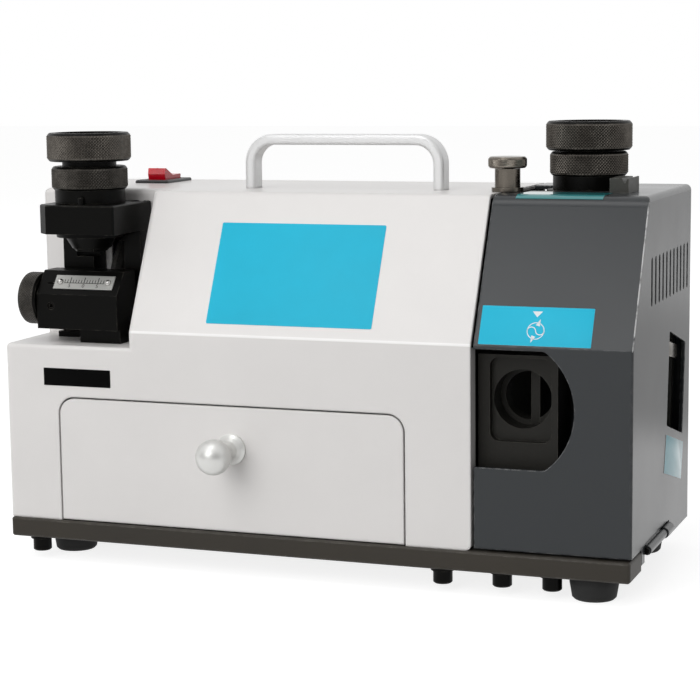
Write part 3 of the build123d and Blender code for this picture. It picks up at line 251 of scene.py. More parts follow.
def dust_nodes(group: NodeTree) -> None:
    """Mask of settled dust on faces that look up."""
    tree, given, out = sockets(group, {"Amount": 0.3}, ["Mask"])
    normal = tree.add("NewGeometry").outputs["Normal"]
    up = tree.add("SeparateXYZ", Vector=normal).outputs["Z"]
    spots = tree.noise(tree.place(), scale=90.0, detail=6.0, rough=0.7)
    patches = tree.ramp(spots, low=0.35, high=0.75)
    lying = tree.math("MULTIPLY", tree.ramp(up, low=0.55, high=0.95), patches)
    tree.put(out["Mask"], tree.math("MULTIPLY", lying, given["Amount"], clamp=True))


def brushed_nodes(group: NodeTree) -> None:
    """Streaks along one direction, set by how far each axis is stretched."""
    tree, given, out = sockets(group, {"X": 40.0, "Y": 2000.0, "Z": 2000.0}, ["Height", "Streak"])
    scale = tree.add("CombineXYZ", **given).outputs[0]
    stretched = tree.vector("MULTIPLY", i0=tree.place(), i1=scale).outputs[0]
    streak = tree.noise(stretched, scale=1.0, rough=0.6)
    tree.put(out["Height"], streak)
    tree.put(out["Streak"], tree.ramp(streak, low=0.3, high=0.7))


def scuff_nodes(group: NodeTree) -> None:
    """Mask of handling marks: a few smears and thin scratches."""
    tree, given, out = sockets(group, {"Scale": 30.0, "Amount": 1.0}, ["Mask"])
    where = tree.place()
    smear = tree.ramp(tree.noise(where, given["Scale"], detail=5.0, rough=0.65), low=0.52, high=0.72)
    broken = tree.ramp(tree.noise(where, scale=60.0, detail=2.0), low=0.56, high=0.66)
    cells = tree.add("TexVoronoi", {"feature": "DISTANCE_TO_EDGE"}, Vector=where, Scale=55.0)
    scratch = tree.math("MULTIPLY", tree.ramp(cells.outputs["Distance"], low=0.012, high=0.0), broken)
    both = tree.math("ADD", tree.math("MULTIPLY", smear, 0.6), scratch)
    tree.put(out["Mask"], tree.math("MULTIPLY", both, given["Amount"], clamp=True))


def new_material(name: str) -> tuple[Material, Tree, Node]:
    """Makes an empty material and returns it with its tree and its Principled shader."""
    material = bpy.data.materials.new(name)
    material.use_nodes = True
    return material, Tree(material.node_tree), material.node_tree.nodes["Principled BSDF"]


def uneven(
    tree: Tree, pattern: NodeSocket, middle: float, spread: Pair, *marks: tuple[NodeSocket, float]
) -> NodeSocket:
    """Makes a roughness that follows a pattern and rises under masks.

    Args:
        tree: The tree of the material.
        pattern: A value from 0 to 1.
        middle: The usual roughness.
        spread: How far the pattern takes it below and above that.
        marks: Masks, each with how much it adds.

    Returns:
        The roughness.
    """
    value = tree.ramp(pattern, 0.0, 1.0, middle - spread[0], middle + spread[1])
    for mask, more in marks:
        value = tree.math("ADD", value, tree.math("MULTIPLY", mask, more), clamp=True)
    return value


@dataclass(frozen=True)
class WearAndHighlightLine:
    """A lighter line along an edge, used both for paint that hands and cloths have thinned or polished and
    for a painted highlight along a bend.
    """

    start: Triple
    end: Triple
    colour: Triple
    width: float = 0.7
    gaps: Pair = (0.36, 0.56)
    core: float = 0.6
    breakup: float = 160.0

    def mask(self, tree: Tree) -> NodeSocket:
        """Returns the mask of the line, broken up by noise."""
        start, end = at(*self.start), at(*self.end)
        where = tree.place()
        away = tree.vector("SUBTRACT", i0=where, i1=start).outputs[0]
        across = tree.vector("CROSS_PRODUCT", i0=away, i1=(end - start).normalized()).outputs[0]
        far = tree.vector("LENGTH", i0=across).outputs["Value"]
        line = tree.ramp(far, self.width * MM, self.width * self.core * MM)
        spots = tree.noise(where, self.breakup, detail=4.0, rough=0.6)
        return tree.math("MULTIPLY", line, tree.ramp(spots, *self.gaps))


@dataclass(frozen=True)
class Surface:
    """A finish: an uneven tone with dust, rubbed edges and scuffs, and a fine relief."""

    name: str
    colour: Triple
    edge: Triple = (0.0, 0.0, 0.0)
    rough: float = 0.5
    wear: float = 0.0
    dust: float = 0.0
    bump: float = 0.1
    grain_scale: float = 700.0
    bump_depth: float = 0.0001
    mottle: float = 0.05
    mottle_scale: float = 14.0
    wear_radius: float = 0.0005
    scuff: float = 0.0
    scuff_scale: float = 26.0
    dust_tone: Triple = (0.45, 0.43, 0.40)
    spread: Pair = (0.03, 0.03)
    dust_rough: float = 0.3
    scuff_rough: float = 0.12
    bend: float = 0.0
    metallic: float = 0.0
    specular: float = 0.5
    coat: float = 0.0
    wear_and_highlight_line: WearAndHighlightLine | None = None

    def pattern(self, tree: Tree) -> tuple[NodeSocket, NodeSocket]:
        """Returns the height of the relief and the pattern that tone and gloss follow."""
        grain = Effect.GRAIN.use(tree, Scale=self.grain_scale, Mottle_Scale=self.mottle_scale)
        return grain.outputs["Height"], grain.outputs["Mottle"]

    def tone(self, tree: Tree, pattern: NodeSocket) -> NodeSocket:
        """Returns the clean tone, which follows the pattern."""
        return tree.mix(pattern, rgba(self.colour, 1.0 - self.mottle), rgba(self.colour))

    def build(self) -> Material:
        """Builds the material and returns it."""
        material, tree, shader = new_material(self.name)
        height, pattern = self.pattern(tree)
        tone = self.tone(tree, pattern)
        marks = []
        if self.dust > 0.0:
            dust = Effect.DUST.mask(tree, Amount=self.dust)
            tone = tree.mix(dust, tone, rgba(self.dust_tone))
            marks.append((dust, self.dust_rough))
        if self.scuff > 0.0:
            scuffs = Effect.SCUFFS.mask(tree, Scale=self.scuff_scale, Amount=self.scuff)
            marks.append((scuffs, self.scuff_rough))
        if self.wear > 0.0:
            wear = Effect.EDGE_WEAR.mask(tree, Radius=self.wear_radius, Amount=self.wear)
            tone = tree.mix(wear, tone, rgba(self.edge))
        # A lighter line along one edge: rubbed paint on the grey cover, a painted highlight on the white
        # housing's crease.
        if self.wear_and_highlight_line is not None:
            tone = tree.mix(self.wear_and_highlight_line.mask(tree), tone, rgba(self.wear_and_highlight_line.colour))
        bump = tree.add("Bump", Height=height, Strength=self.bump, Distance=self.bump_depth)
        if self.bend > 0.0:
            tree.fill(bump, Normal=tree.bent(self.bend))
        tree.fill(
            shader,
            Base_Color=tone,
            Roughness=uneven(tree, pattern, self.rough, self.spread, *marks),
            Normal=bump.outputs[0],
            Metallic=self.metallic,
            Specular_IOR_Level=self.specular,
            Coat_Weight=self.coat,
        )
        return material


@dataclass(frozen=True)
class Paint(Surface):
    """Sprayed paint on sheet or cast metal, with orange peel, rubbed edges and a little dust."""

    bump_depth: float = 0.0002
    wear_radius: float = 0.0006
    scuff: float = 0.2
    dust_tone: Triple = (0.62, 0.60, 0.57)
    dust_rough: float = 0.35
    bend: float = 0.0012


@dataclass(frozen=True)
class Metal(Surface):
    """Bare, plated or blackened metal with a machined or brushed grain and bright rubbed edges."""

    bump: float = 0.12
    mottle: float = 0.25
    mottle_scale: float = 60.0
    scuff: float = 0.6
    scuff_scale: float = 60.0
    dust_tone: Triple = (0.42, 0.40, 0.37)
    spread: Pair = (0.04, 0.06)
    dust_rough: float = 0.4
    scuff_rough: float = 0.10
    metallic: float = 1.0
    streak: float = 0.30
    stretch: Triple = (900.0, 900.0, 900.0)

    def pattern(self, tree: Tree) -> tuple[NodeSocket, NodeSocket]:
        """Returns the height and the pattern of the streaks."""
        brushed = Effect.BRUSHED.use(tree, **dict(zip("XYZ", self.stretch)))
        return brushed.outputs["Height"], brushed.outputs["Streak"]

    def tone(self, tree: Tree, pattern: NodeSocket) -> NodeSocket:
        """Returns the clean tone, which follows the streaks and a slow mottle."""
        dark = rgba(self.colour, 1.0 - self.streak)
        mottle = Effect.GRAIN.use(tree, Mottle_Scale=self.mottle_scale).outputs["Mottle"]
        tone = tree.mix(pattern, dark, rgba(self.colour))
        return tree.mix(tree.math("MULTIPLY", mottle, self.mottle), tone, dark)


@dataclass(frozen=True)
class Moulded(Surface):
    """Moulded plastic or rubber: fine grain, soft gloss and rubbed edges."""

    wear: float = 0.3
    dust: float = 0.1
    mottle: float = 0.18
    mottle_scale: float = 45.0
    wear_radius: float = 0.0004
    spread: Pair = (0.05, 0.05)


@dataclass(frozen=True)
class Grit(Surface):
    """Bonded abrasive: dark and pale grains."""

    rough: float = 0.8
    bump: float = 0.5
    grain_scale: float = 1400.0
    bump_depth: float = 0.0003
    spread: Pair = (0.1, 0.1)
    pale: Triple = (0.05, 0.047, 0.043)

    def pattern(self, tree: Tree) -> tuple[NodeSocket, NodeSocket]:
        """Returns the height of the grains and a value for each."""
        cells = tree.add("TexVoronoi", Vector=tree.place(), Scale=self.grain_scale).outputs
        return cells["Distance"], tree.add("SeparateColor", Color=cells["Color"]).outputs[0]

    def tone(self, tree: Tree, pattern: NodeSocket) -> NodeSocket:
        """Returns the tone of the grains."""
        return tree.mix(pattern, rgba(self.colour), rgba(self.pale))


@dataclass(frozen=True)
class Print(Surface):
    """Ink on film: a nearly even colour with faint mottle and a light grain."""

    rough: float = 0.46
    bump: float = 0.04
    mottle: float = 0.08
    mottle_scale: float = 25.0
    scuff: float = 0.4
    scuff_scale: float = 40.0
    scuff_rough: float = 0.15
    specular: float = 0.2


TURNED: Triple = (60.0, 60.0, 2600.0)
CAST: Triple = (700.0, 700.0, 700.0)

# The lighter line along the crease between the housing's slope and front is a painted highlight of the bend,
# not wear.
WHITE_PAINT = Paint(
    "white_paint", (0.80, 0.78, 0.765), (0.55, 0.54, 0.52), 0.34, wear=0.35, dust=0.05, coat=0.1, bend=0.0015,
    wear_and_highlight_line=WearAndHighlightLine((70.0, 2.0, 100.4), (250.0, 2.0, 100.4), (0.97, 0.96, 0.95), 0.85, (0.0, 0.2)),
)
# The lighter, broken line along the cover's right slope edge is rubbed paint.
GREY_PAINT = Paint(
    "grey_paint", (0.0275, 0.031, 0.034), (0.70, 0.70, 0.70), 0.22, wear=0.35, dust=0.02, grain_scale=650.0,
    wear_radius=0.0010, specular=0.33, scuff=0.1,
    wear_and_highlight_line=WearAndHighlightLine((330.0, 3.0, 100.4), (330.0, 37.0, 170.0), (0.70, 0.70, 0.70)),
)
BASE_PAINT = Paint(
    "base_paint", (0.030, 0.025, 0.018), (0.20, 0.18, 0.16), 0.50, wear=0.7, dust=0.08, bump=0.25,
    grain_scale=900.0, mottle=0.25, specular=0.35,
)
MOTOR_PAINT = Paint(
    "motor_paint", (0.10, 0.12, 0.15), (0.35, 0.35, 0.35), 0.45, wear=0.5, dust=0.30, bump=0.15
)
BLACK_OXIDE = Metal(
    "black_oxide", (0.0025, 0.0024, 0.0020), (0.14, 0.13, 0.11), 0.33, wear=0.55, dust=0.01,
    metallic=0.0, specular=0.08,
)
KNURLED = Metal("knurled_oxide", (0.095, 0.085, 0.074), (0.34, 0.31, 0.27), 0.30, wear=0.25, metallic=0.8)
RING_KNURL = Metal("ring_knurl", (0.046, 0.041, 0.035), (0.26, 0.24, 0.21), 0.32, wear=0.25, metallic=0.7)
DARK_KNURL = Metal("dark_knurl", (0.040, 0.036, 0.031), (0.20, 0.18, 0.16), 0.34, wear=0.25, metallic=0.6)
BRIGHT_STEEL = Metal(
    "bright_steel", (0.60, 0.59, 0.57), (0.80, 0.80, 0.78), 0.26, wear=0.4, streak=0.25, stretch=TURNED
)
BRONZE_STEEL = Metal(
    "bronze_steel", (0.180, 0.160, 0.136), (0.42, 0.39, 0.34), 0.22, wear=0.5, bump=0.03,
    streak=0.08, stretch=TURNED,
)
ZINC_STEEL = Metal(
    "zinc_steel", (0.56, 0.56, 0.55), (0.75, 0.75, 0.74), 0.38, wear=0.4, dust=0.1,
    streak=0.35, stretch=(500.0, 500.0, 500.0),
)
CHROME = Metal(
    "chrome", (0.71, 0.71, 0.69), (0.88, 0.88, 0.87), 0.36, wear=0.1, bump=0.002, metallic=0.62,
    streak=0.03, stretch=(60.0, 60.0, 60.0),
)
ALUMINIUM = Metal(
    "aluminium", (0.76, 0.76, 0.76), rough=0.36, bump=0.01, bend=0.0022, metallic=0.45, streak=0.02
)
SCALE_METAL = Metal(
    "scale_metal", (0.44, 0.44, 0.42), (0.62, 0.62, 0.60), 0.40, wear=0.4, metallic=0.6,
    streak=0.20, stretch=(30.0, 1800.0, 1800.0),
)
GREY_BLOCK = Metal(
    "grey_block", (0.050, 0.050, 0.044), (0.22, 0.22, 0.20), 0.46, wear=0.6, dust=0.03,
    metallic=0.2, specular=0.35, streak=0.25, stretch=CAST,
)
DARK_BLOCK = Metal(
    "dark_block", (0.018, 0.017, 0.0145), (0.12, 0.12, 0.10), 0.50, wear=0.6, dust=0.02,
    metallic=0.1, specular=0.2, streak=0.25, stretch=CAST,
)
BRASS = Metal(
    "brass", (0.70, 0.52, 0.24), (0.85, 0.70, 0.42), 0.28, wear=0.4,
    streak=0.20, stretch=(200.0, 200.0, 200.0),
)
RUBBER = Moulded("rubber", (0.010, 0.010, 0.010), (0.03, 0.03, 0.03), 0.80, bump=0.5, grain_scale=1300.0)
BLACK_PLASTIC = Moulded(
    "black_plastic", (0.025, 0.025, 0.026), (0.08, 0.08, 0.08), 0.42, bump=0.3, grain_scale=1600.0
)
RED_PLASTIC = Moulded(
    "red_plastic", (0.78, 0.004, 0.020), (0.12, 0.002, 0.004), 0.24, wear=0.9, dust=0.0, bump=0.05,
    grain_scale=400.0, coat=0.2,
)
ABRASIVE = Grit("abrasive", (0.012, 0.012, 0.011))
BLUE_FILM = Print("blue_film", (0.020, 0.51, 0.73))
TEAL_FILM = Print("teal_film", (0.04, 0.25, 0.26), rough=0.08, specular=0.6)
# CYAN_FILM's tone is raised against the shade on the cover's right side: partly the film's own cyan, partly
# painted light.
CYAN_FILM = Print("cyan_film", (0.34, 0.74, 0.84), rough=0.14, specular=0.6)
BLACK_FILM = Print("black_film", (0.002, 0.002, 0.002), rough=0.5, specular=0.03)
PALE_INK = Print("pale_ink", (0.82, 0.85, 0.87))
DARK_INK = Print("dark_ink", (0.012, 0.012, 0.012))

NODE_LOOKS: tuple[tuple[Surface, Sequence[str]], ...] = (
    (WHITE_PAINT, ("main_housing", "drawer_front")),
    (GREY_PAINT, ("right_cover", "hinge_tube", "hinge_lug")),
    (BASE_PAINT, ("base_plate",)),
    (
        BLACK_OXIDE,
        (
            "left_chuck_body", "left_clamp_nut", "left_collet", "right_chuck_body", "right_clamp_nut",
            "right_collet", "bracket_arm", "arm_screws", "carriage_pillar", "slide_rails", "feed_block",
            "feed_base", "feed_knob", "set_screw", "dowel_pin", "hinge_pin", "base_cap_screws",
            "base_washers",
        ),
    ),
    (
        BRIGHT_STEEL,
        ("spindle", "plate_rivets", "feed_screw", "plunger_spring", "left_flanges", "right_flanges"),
    ),
    (BRONZE_STEEL, ("plunger_pin", "plunger_sleeve")),
    (
        ZINC_STEEL,
        ("foot_screws", "handle_screws", "knob_screw", "drawer_runners", "drawer_tray", "motor_shelf"),
    ),
    (CHROME, ("drawer_knob",)),
    (ALUMINIUM, ("carry_handle", "motor_cradle")),
    (SCALE_METAL, ("scale_plate",)),
    (GREY_BLOCK, ("stop_block", "side_seat")),
    # right_seat takes this dark look as painted shade round the foot of the right chuck.
    (DARK_BLOCK, ("right_seat", "setting_block", "setting_blade", "bulkhead")),
    (RUBBER, ("rubber_feet",)),
    (BLACK_PLASTIC, ("switch_body", "power_inlet")),
    (RED_PLASTIC, ("switch_rocker",)),
    (BRASS, ("inlet_pins",)),
    (ABRASIVE, ("left_wheel", "right_wheel")),
    (MOTOR_PAINT, ("motor_body",)),
)


@cache
def material_of(look: Surface) -> Material:
    """Returns a look's material, built on its first use."""
    return look.build()


# Steps of modelling by hand, each on the one object at work. Lengths are in millimetres.


def deselect() -> None:
    """Leaves edit mode and selects nothing."""
    if bpy.context.object is not None and bpy.context.object.mode != "OBJECT":
        bpy.ops.object.mode_set(mode="OBJECT")
    bpy.ops.object.select_all(action="DESELECT")


def activate(obj: Object) -> None:
    """Makes one object the selected and active one."""
    deselect()
    obj.select_set(True)
    bpy.context.view_layer.objects.active = obj


def apply_transform() -> None:
    """Moves place, turn and scale of the selected objects into their meshes."""
    bpy.ops.object.transform_apply(location=True, rotation=True, scale=True)


def edit() -> Object:
    """Opens the active object in edit mode, all of it selected, and returns it."""
    bpy.ops.object.mode_set(mode="EDIT")
    bpy.ops.mesh.select_all(action="SELECT")
    return bpy.context.object


def select(obj: Object, kind: str, test: Callable[[object], bool]) -> None:
    """Selects mesh elements in edit mode.

    Args:
        obj: The object in edit mode.
        kind: FACE or EDGE.
        test: Tells of a bmesh element whether it is selected.
    """
    bpy.ops.mesh.select_mode(type=kind)
    bpy.ops.mesh.select_all(action="DESELECT")
    mesh = bmesh.from_edit_mesh(obj.data)
    for item in {"FACE": mesh.faces, "EDGE": mesh.edges}[kind]:
        if test(item):
            item.select_set(True)
    mesh.select_flush_mode()
    bmesh.update_edit_mesh(obj.data)


def close_edit() -> Object:
    """Turns all normals outwards, leaves edit mode and returns the object."""
    bpy.ops.mesh.select_mode(type="VERT")
    bpy.ops.mesh.select_all(action="SELECT")
    bpy.ops.mesh.normals_make_consistent(inside=False)
    bpy.ops.object.mode_set(mode="OBJECT")
    return bpy.context.object


def thicken(thick: float) -> Object:
    """Extrudes the flat mesh in edit mode along Z and returns the closed object."""
    bpy.ops.mesh.select_all(action="SELECT")
    bpy.ops.mesh.extrude_region_move(TRANSFORM_OT_translate={"value": (0.0, 0.0, thick * MM)})
    return close_edit()


def modify(obj: Object, kind: str, **settings: object) -> None:
    """Adds a modifier with its settings and applies it."""
    activate(obj)
    modifier = obj.modifiers.new(kind.lower(), kind)
    for name, value in settings.items():
        setattr(modifier, name, value)
    bpy.ops.object.modifier_apply(modifier=modifier.name)


def soften(obj: Object, width: float, segments: int) -> None:
    """Bevels the edges of an object."""
    modify(obj, "BEVEL", width=width * MM, segments=segments, limit_method="ANGLE")


def flat(width: float, height: float) -> Object:
    """Adds a rectangle on the XY plane and returns it in edit mode."""
    deselect()
    bpy.ops.mesh.primitive_plane_add(size=1.0)
    bpy.context.object.scale = (width * MM, height * MM, 1.0)
    apply_transform()
    return edit()


def disc(radius: float, sides: int) -> Object:
    """Adds a filled circle on the XY plane and returns it."""
    deselect()
    bpy.ops.mesh.primitive_circle_add(vertices=sides, radius=radius * MM, fill_type="NGON")
    return bpy.context.object


def plate(width: float, height: float, thick: float, corner: float = 0.0, steps: int = 5) -> Object:
    """Models a flat plate on the XY plane.

    Args:
        width: Size along X.
        height: Size along Y.
        thick: Size along Z.
        corner: Radius of the corners.
        steps: Segments of a corner.

    Returns:
        The plate, its back on Z 0.
    """
    flat(width, height)
    if corner > 0.0:
        bpy.ops.mesh.bevel(offset=corner * MM, segments=steps, affect="VERTICES")
    return thicken(thick)


def ring(outer: float, inner: float, thick: float, sides: int = 40) -> Object:
    """Models a flat ring on the XY plane and returns it, its back on Z 0."""
    disc(outer, sides)
    edit()
    bpy.ops.mesh.inset(thickness=(outer - inner) * MM * math.cos(math.pi / sides))
    bpy.ops.mesh.delete(type="FACE")
    return thicken(thick)


def triangle(radius: float, stretch: Pair, thick: float, y: float = 0.0, turn: float = 0.0) -> Object:
    """Models a flat triangle on the XY plane.

    Args:
        radius: Radius round its corners, before it is stretched.
        stretch: Factors along its own X and Y.
        thick: Height.
        y: Place of its middle along Y.
        turn: Its turn about Z.

    Returns:
        The triangle, its back on Z 0.
    """
    obj = disc(radius, sides=3)
    obj.location.y = y * MM
    obj.rotation_euler.z = turn
    obj.scale = (*stretch, 1.0)
    apply_transform()
    edit()
    return thicken(thick)


def knurl(radius: float, length: float, columns: int, rows: int, depth: float, wall: float = 0.6) -> Object:
    """Models a sleeve with a diamond knurl along Z, closed by a smooth inner wall.

    Args:
        radius: Radius of the solid under it.
        length: Length.
        columns: Diamonds round the sleeve.
        rows: Diamonds along the sleeve.
        depth: Height of a diamond.
        wall: Thickness of the sleeve.

    Returns:
        The sleeve, its middle at the origin.
    """
    foot = radius + KNURL_LIFT
    deselect()
    bpy.ops.mesh.primitive_cylinder_add(
        vertices=columns, radius=foot * MM, depth=length * MM, end_fill_type="NOTHING"
    )
    obj = edit()
    select(obj, "EDGE", lambda e: abs(e.verts[0].co.z - e.verts[1].co.z) > length / 2 * MM)
    bpy.ops.mesh.subdivide_edgering(number_cuts=rows - 1, interpolation="LINEAR")
    corners = len(bmesh.from_edit_mesh(obj.data).verts)
    bpy.ops.mesh.select_mode(type="FACE")
    bpy.ops.mesh.select_all(action="SELECT")
    bpy.ops.mesh.poke()
    select(obj, "EDGE", lambda e: len(e.link_faces) == 2 and max(v.index for v in e.verts) < corners)
    bpy.ops.mesh.dissolve_edges(use_verts=False)
    select(obj, "FACE", lambda f: len(f.verts) == 4)
    bpy.ops.mesh.poke(offset=depth * MM, use_relative_offset=False)
    select(obj, "EDGE", lambda e: e.is_boundary)
    bpy.ops.mesh.extrude_edges_move()
    shrink = (foot - wall) / foot
    bpy.ops.transform.resize(value=(shrink, shrink, 1.0), center_override=(0.0, 0.0, 0.0))
    bpy.ops.mesh.bridge_edge_loops()
    return close_edit()


def copies(obj: Object, places: Sequence[Triple]) -> Object:
    """Copies an object to places, takes it to the first itself, and returns all joined."""
    made = [obj]
    for place in places[1:]:
        twin = obj.copy()
        twin.data = obj.data.copy()
        bpy.context.scene.collection.objects.link(twin)
        twin.location = Vector(place) * MM
        made.append(twin)
    obj.location = Vector(places[0]) * MM
    return join(made)


def join(parts: Sequence[Object]) -> Object:
    """Joins objects into the first, places applied, and returns it."""
    deselect()
    for part in parts:
        part.select_set(True)
    bpy.context.view_layer.objects.active = parts[0]
    apply_transform()
    if len(parts) > 1:
        bpy.ops.object.join()
    return parts[0]


def settle(obj: Object, name: str, body: str, place: Matrix, looks: Sequence[Surface]) -> None:
    """Puts a modelled piece in its place and on its body.

    Args:
        obj: The piece, modelled round the origin.
        name: Name of the piece.
        body: The CAD body that it rides on.
        place: Where it goes, in the frame.
        looks: Its look; a second one goes on all but its front.
    """
    obj.name = name
    obj.data.name = name
    for look in looks:
        obj.data.materials.append(material_of(look))
    if len(looks) > 1:
        for face in obj.data.polygons:
            face.material_index = 0 if face.normal.z > FRONT_FACING else 1
    activate(obj)
    obj.matrix_world = place
    apply_transform()
    bpy.ops.object.shade_smooth_by_angle(angle=math.radians(SMOOTH_ANGLE))
    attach(obj, body)
    LOG.info("%s rides on %s, %d faces", name, body, len(obj.data.polygons))


def seat(node: str, start: Vector, toward: Triple, up: Triple) -> Matrix:
    """Finds the frame of a spot on a CAD node: Z out of the surface, Y towards up.

    Args:
        node: Name of the CAD node.
        start: Where the search starts, in the frame.
        toward: The way it goes.
        up: The way that the piece's top points.

    Returns:
        The spot's matrix.

    Raises:
        ValueError: If the search meets nothing.
    """
    hit, point, normal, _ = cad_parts[node].ray_cast(start, toward)
    if not hit:
        raise ValueError(f"nothing of {node} in the way")
    out = normal.normalized()
    top = (Vector(up) - out * out.dot(up)).normalized()
    matrix = Matrix((top.cross(out), top, out)).transposed().to_4x4()
    matrix.translation = point
    return matrix


@dataclass
class Chuck:
    """A collet chuck: knurled bands on its clamp nut and on its ring."""

    side: str
    ring_from: float
    ring_look: Metal
    nut_r: float = 21.3
    nut_margin: float = 2.4
    ring_r: float = 19.3
    ring_h: float = 11.9
    ring_margin: float = 2.0
    depth: float = 0.5
    pitch: float = 1.62

    def build(self) -> None:
        """Models both bands."""
        low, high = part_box(f"{self.side}_clamp_nut")
        nut = (low + high) / 2
        nut_h = (high.z - low.z) / MM
        ring_z = at(0.0, 0.0, self.ring_from + self.ring_h / 2).z
        bands = (
            ("nut", "nut", self.nut_r, nut_h - self.nut_margin, nut.z, KNURLED),
            ("ring", "chuck", self.ring_r, self.ring_h - self.ring_margin, ring_z, self.ring_look),
        )
        for part, body, radius, length, z, look in bands:
            columns = round(2 * math.pi * radius / self.pitch)
            obj = knurl(radius, length, columns, round(length / self.pitch), self.depth)
            place = Matrix.Translation((nut.x, nut.y, z))
            settle(obj, f"{self.side}_{part}_knurl", f"{self.side}_{body}", place, [look])


@dataclass
class Grip:
    """A knurled sleeve on a small knob."""

    name: str
    node: str
    body: str
    radius: float
    length: float
    columns: int
    rows: int
    depth: float
    look: Metal
    slot: Slot
    turn: float = 0.0
    under_top: float | None = None

    def build(self) -> None:
        """Models the sleeve round the middle of its node, or so many millimetres under its top."""
        low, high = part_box(self.node)
        place = (low + high) / 2
        if self.under_top is not None:
            place.z = high.z - self.under_top * MM
        obj = knurl(self.radius, self.length, self.columns, self.rows, self.depth)
        turn = Matrix.Rotation(math.radians(self.turn), 4, "Y")
        settle(obj, self.name, self.body, Matrix.Translation(place) @ turn, [self.look])


@dataclass
class Film:
    """A printed film on a face of a CAD node, with a pale cut edge where it has a second look."""

    name: str
    node: str
    body: str
    size: Pair
    start: Triple
    toward: Triple
    looks: Sequence[Print]
    slot: Slot
    up: Triple = UP
    thick: float = 0.2
    corner: float = 0.3
    steps: int = 2
    edge: float = 0.05

    def build(self) -> Matrix:
        """Models the film and returns its spot on the node."""
        place = seat(self.node, at(*self.start), self.toward, self.up)
        obj = plate(*self.size, self.thick, self.corner, self.steps)
        soften(obj, self.edge, segments=2)
        settle(obj, self.name, self.body, place, self.looks)
        return place


@dataclass
class TopFilm:
    """The film that bends over the top of the cover's slope."""

    size: Pair = (43.4, 20.6)
    middle: Triple = (285.4, 47.6, 190.0)
    cuts: tuple[int, int] = (4, 48)
    gap: float = 0.03
    thick: float = 0.2

    def build(self) -> None:
        """Models the film as a grid that is laid on the cover from above."""
        deselect()
        bpy.ops.mesh.primitive_grid_add(
            x_subdivisions=self.cuts[0], y_subdivisions=self.cuts[1], size=1.0, location=at(*self.middle)
        )
        obj = bpy.context.object
        obj.scale = (self.size[0] * MM, self.size[1] * MM, 1.0)
        apply_transform()
        modify(
            obj, "SHRINKWRAP", target=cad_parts["right_cover"], offset=self.gap * MM,
            wrap_method="PROJECT", use_project_z=True,
            use_negative_direction=True, use_positive_direction=False,
        )
        modify(obj, "SOLIDIFY", thickness=self.thick * MM, offset=1.0)
        settle(obj, "cover_top_film", "cover", Matrix.Identity(4), [TEAL_FILM])


@dataclass
class ToolMark:
    """A pointer over the plain end view of a two-lipped tool, printed on a film."""

    film: float = 0.2
    ink: float = 0.05
    pointer_r: float = 2.9
    pointer_stretch: Pair = (1.0, 0.68)
    pointer_y: float = 6.6
    tool_y: float = -2.2
    rim: Pair = (4.3, 3.9)
    tip_r: float = 1.9
    tip_stretch: Pair = (0.62, 1.25)
    tip_y: float = 3.9
    tip_turn: float = -0.3
    line: float = 0.45
    bend_middle: Pair = (2.1, 0.2)
    bend_angle: float = math.pi * 0.95
    bend_steps: int = 14
    weld: float = 0.01

    def build(self, place: Matrix) -> None:
        """Models the mark on the film's spot on the cover."""
        pointer = triangle(self.pointer_r, self.pointer_stretch, self.ink, turn=math.pi)
        pointer.location = Vector((0.0, self.pointer_y, self.film)) * MM
        parts = [ring(*self.rim, self.ink)]
        for turn in (0.0, math.pi):
            lip = self.lip()
            lip.rotation_euler.z = turn
            tip = triangle(self.tip_r, self.tip_stretch, self.ink, self.tip_y)
            tip.rotation_euler.z = turn + self.tip_turn
            parts += [lip, tip]
        for part in parts:
            part.location = Vector((0.0, self.tool_y, self.film)) * MM
        obj = join([pointer, *parts])
        settle(obj, "cover_tool_mark", "cover", place, [PALE_INK])

    def lip(self) -> Object:
        """Models one curved lip of the tool's end view and returns it."""
        select(flat(self.line, self.line), "EDGE", lambda e: all(v.co.y > 0 for v in e.verts))
        centre = (self.bend_middle[0] * MM, self.bend_middle[1] * MM, 0.0)
        bpy.ops.mesh.spin(steps=self.bend_steps, angle=self.bend_angle, center=centre, axis=(0.0, 0.0, -1.0))
        bpy.ops.mesh.select_all(action="SELECT")
        bpy.ops.mesh.remove_doubles(threshold=self.weld * MM)
        return thicken(self.ink)


@dataclass
class Block:
    """A plain block with softened edges, turned about X."""

    name: str
    body: str
    size: Triple
    middle: Triple
    turn: float
    edge: float
    look: Surface
    slot: Slot
    corner: float = 0.0

    def build(self) -> None:
        """Models the block round its middle."""
        obj = plate(*self.size, self.corner, steps=3)
        soften(obj, self.edge, segments=3)
        turn = Matrix.Rotation(math.radians(self.turn), 4, "X")
        centred = Matrix.Translation((0.0, 0.0, -self.size[2] / 2 * MM))
        place = Matrix.Translation(at(*self.middle)) @ turn @ centred
        settle(obj, self.name, self.body, place, [self.look])


@dataclass
class PlungerSpring:
    """The coil in the plunger's sleeve, which shortens as the plunger is pulled."""

    radius: float = 4.1
    wire: float = 0.45
    wire_sides: int = 8
    turns: int = 5
    steps: int = 24
    keep: float = 0.7

    def build(self) -> None:
        """Models the coil, standing on its lower end, in place of the CAD spring."""
        low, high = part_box("plunger_spring")
        wire = self.wire * MM
        deselect()
        bpy.ops.mesh.primitive_circle_add(vertices=self.wire_sides, radius=wire)
        obj = bpy.context.object
        obj.location.x = self.radius * MM
        obj.rotation_euler.x = math.pi / 2
        apply_transform()
        pitch = (high.z - low.z - 2 * wire) / self.turns
        modify(
            obj, "SCREW", screw_offset=pitch, iterations=self.turns, steps=self.steps, render_steps=self.steps
        )
        select(edit(), "EDGE", lambda e: e.is_boundary)
        bpy.ops.mesh.fill_holes(sides=0)
        close_edit()
        middle = (low + high) / 2
        place = Matrix.Translation((middle.x, middle.y, low.z + wire))
        settle(obj, "plunger_coil", "machine_frame", place, [BRIGHT_STEEL])
        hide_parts("plunger_spring")
        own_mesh(obj)


@dataclass(frozen=True)
class Stroke:
    """A straight mark: its width, its length and the height of its middle."""

    width: float
    length: float
    y: float


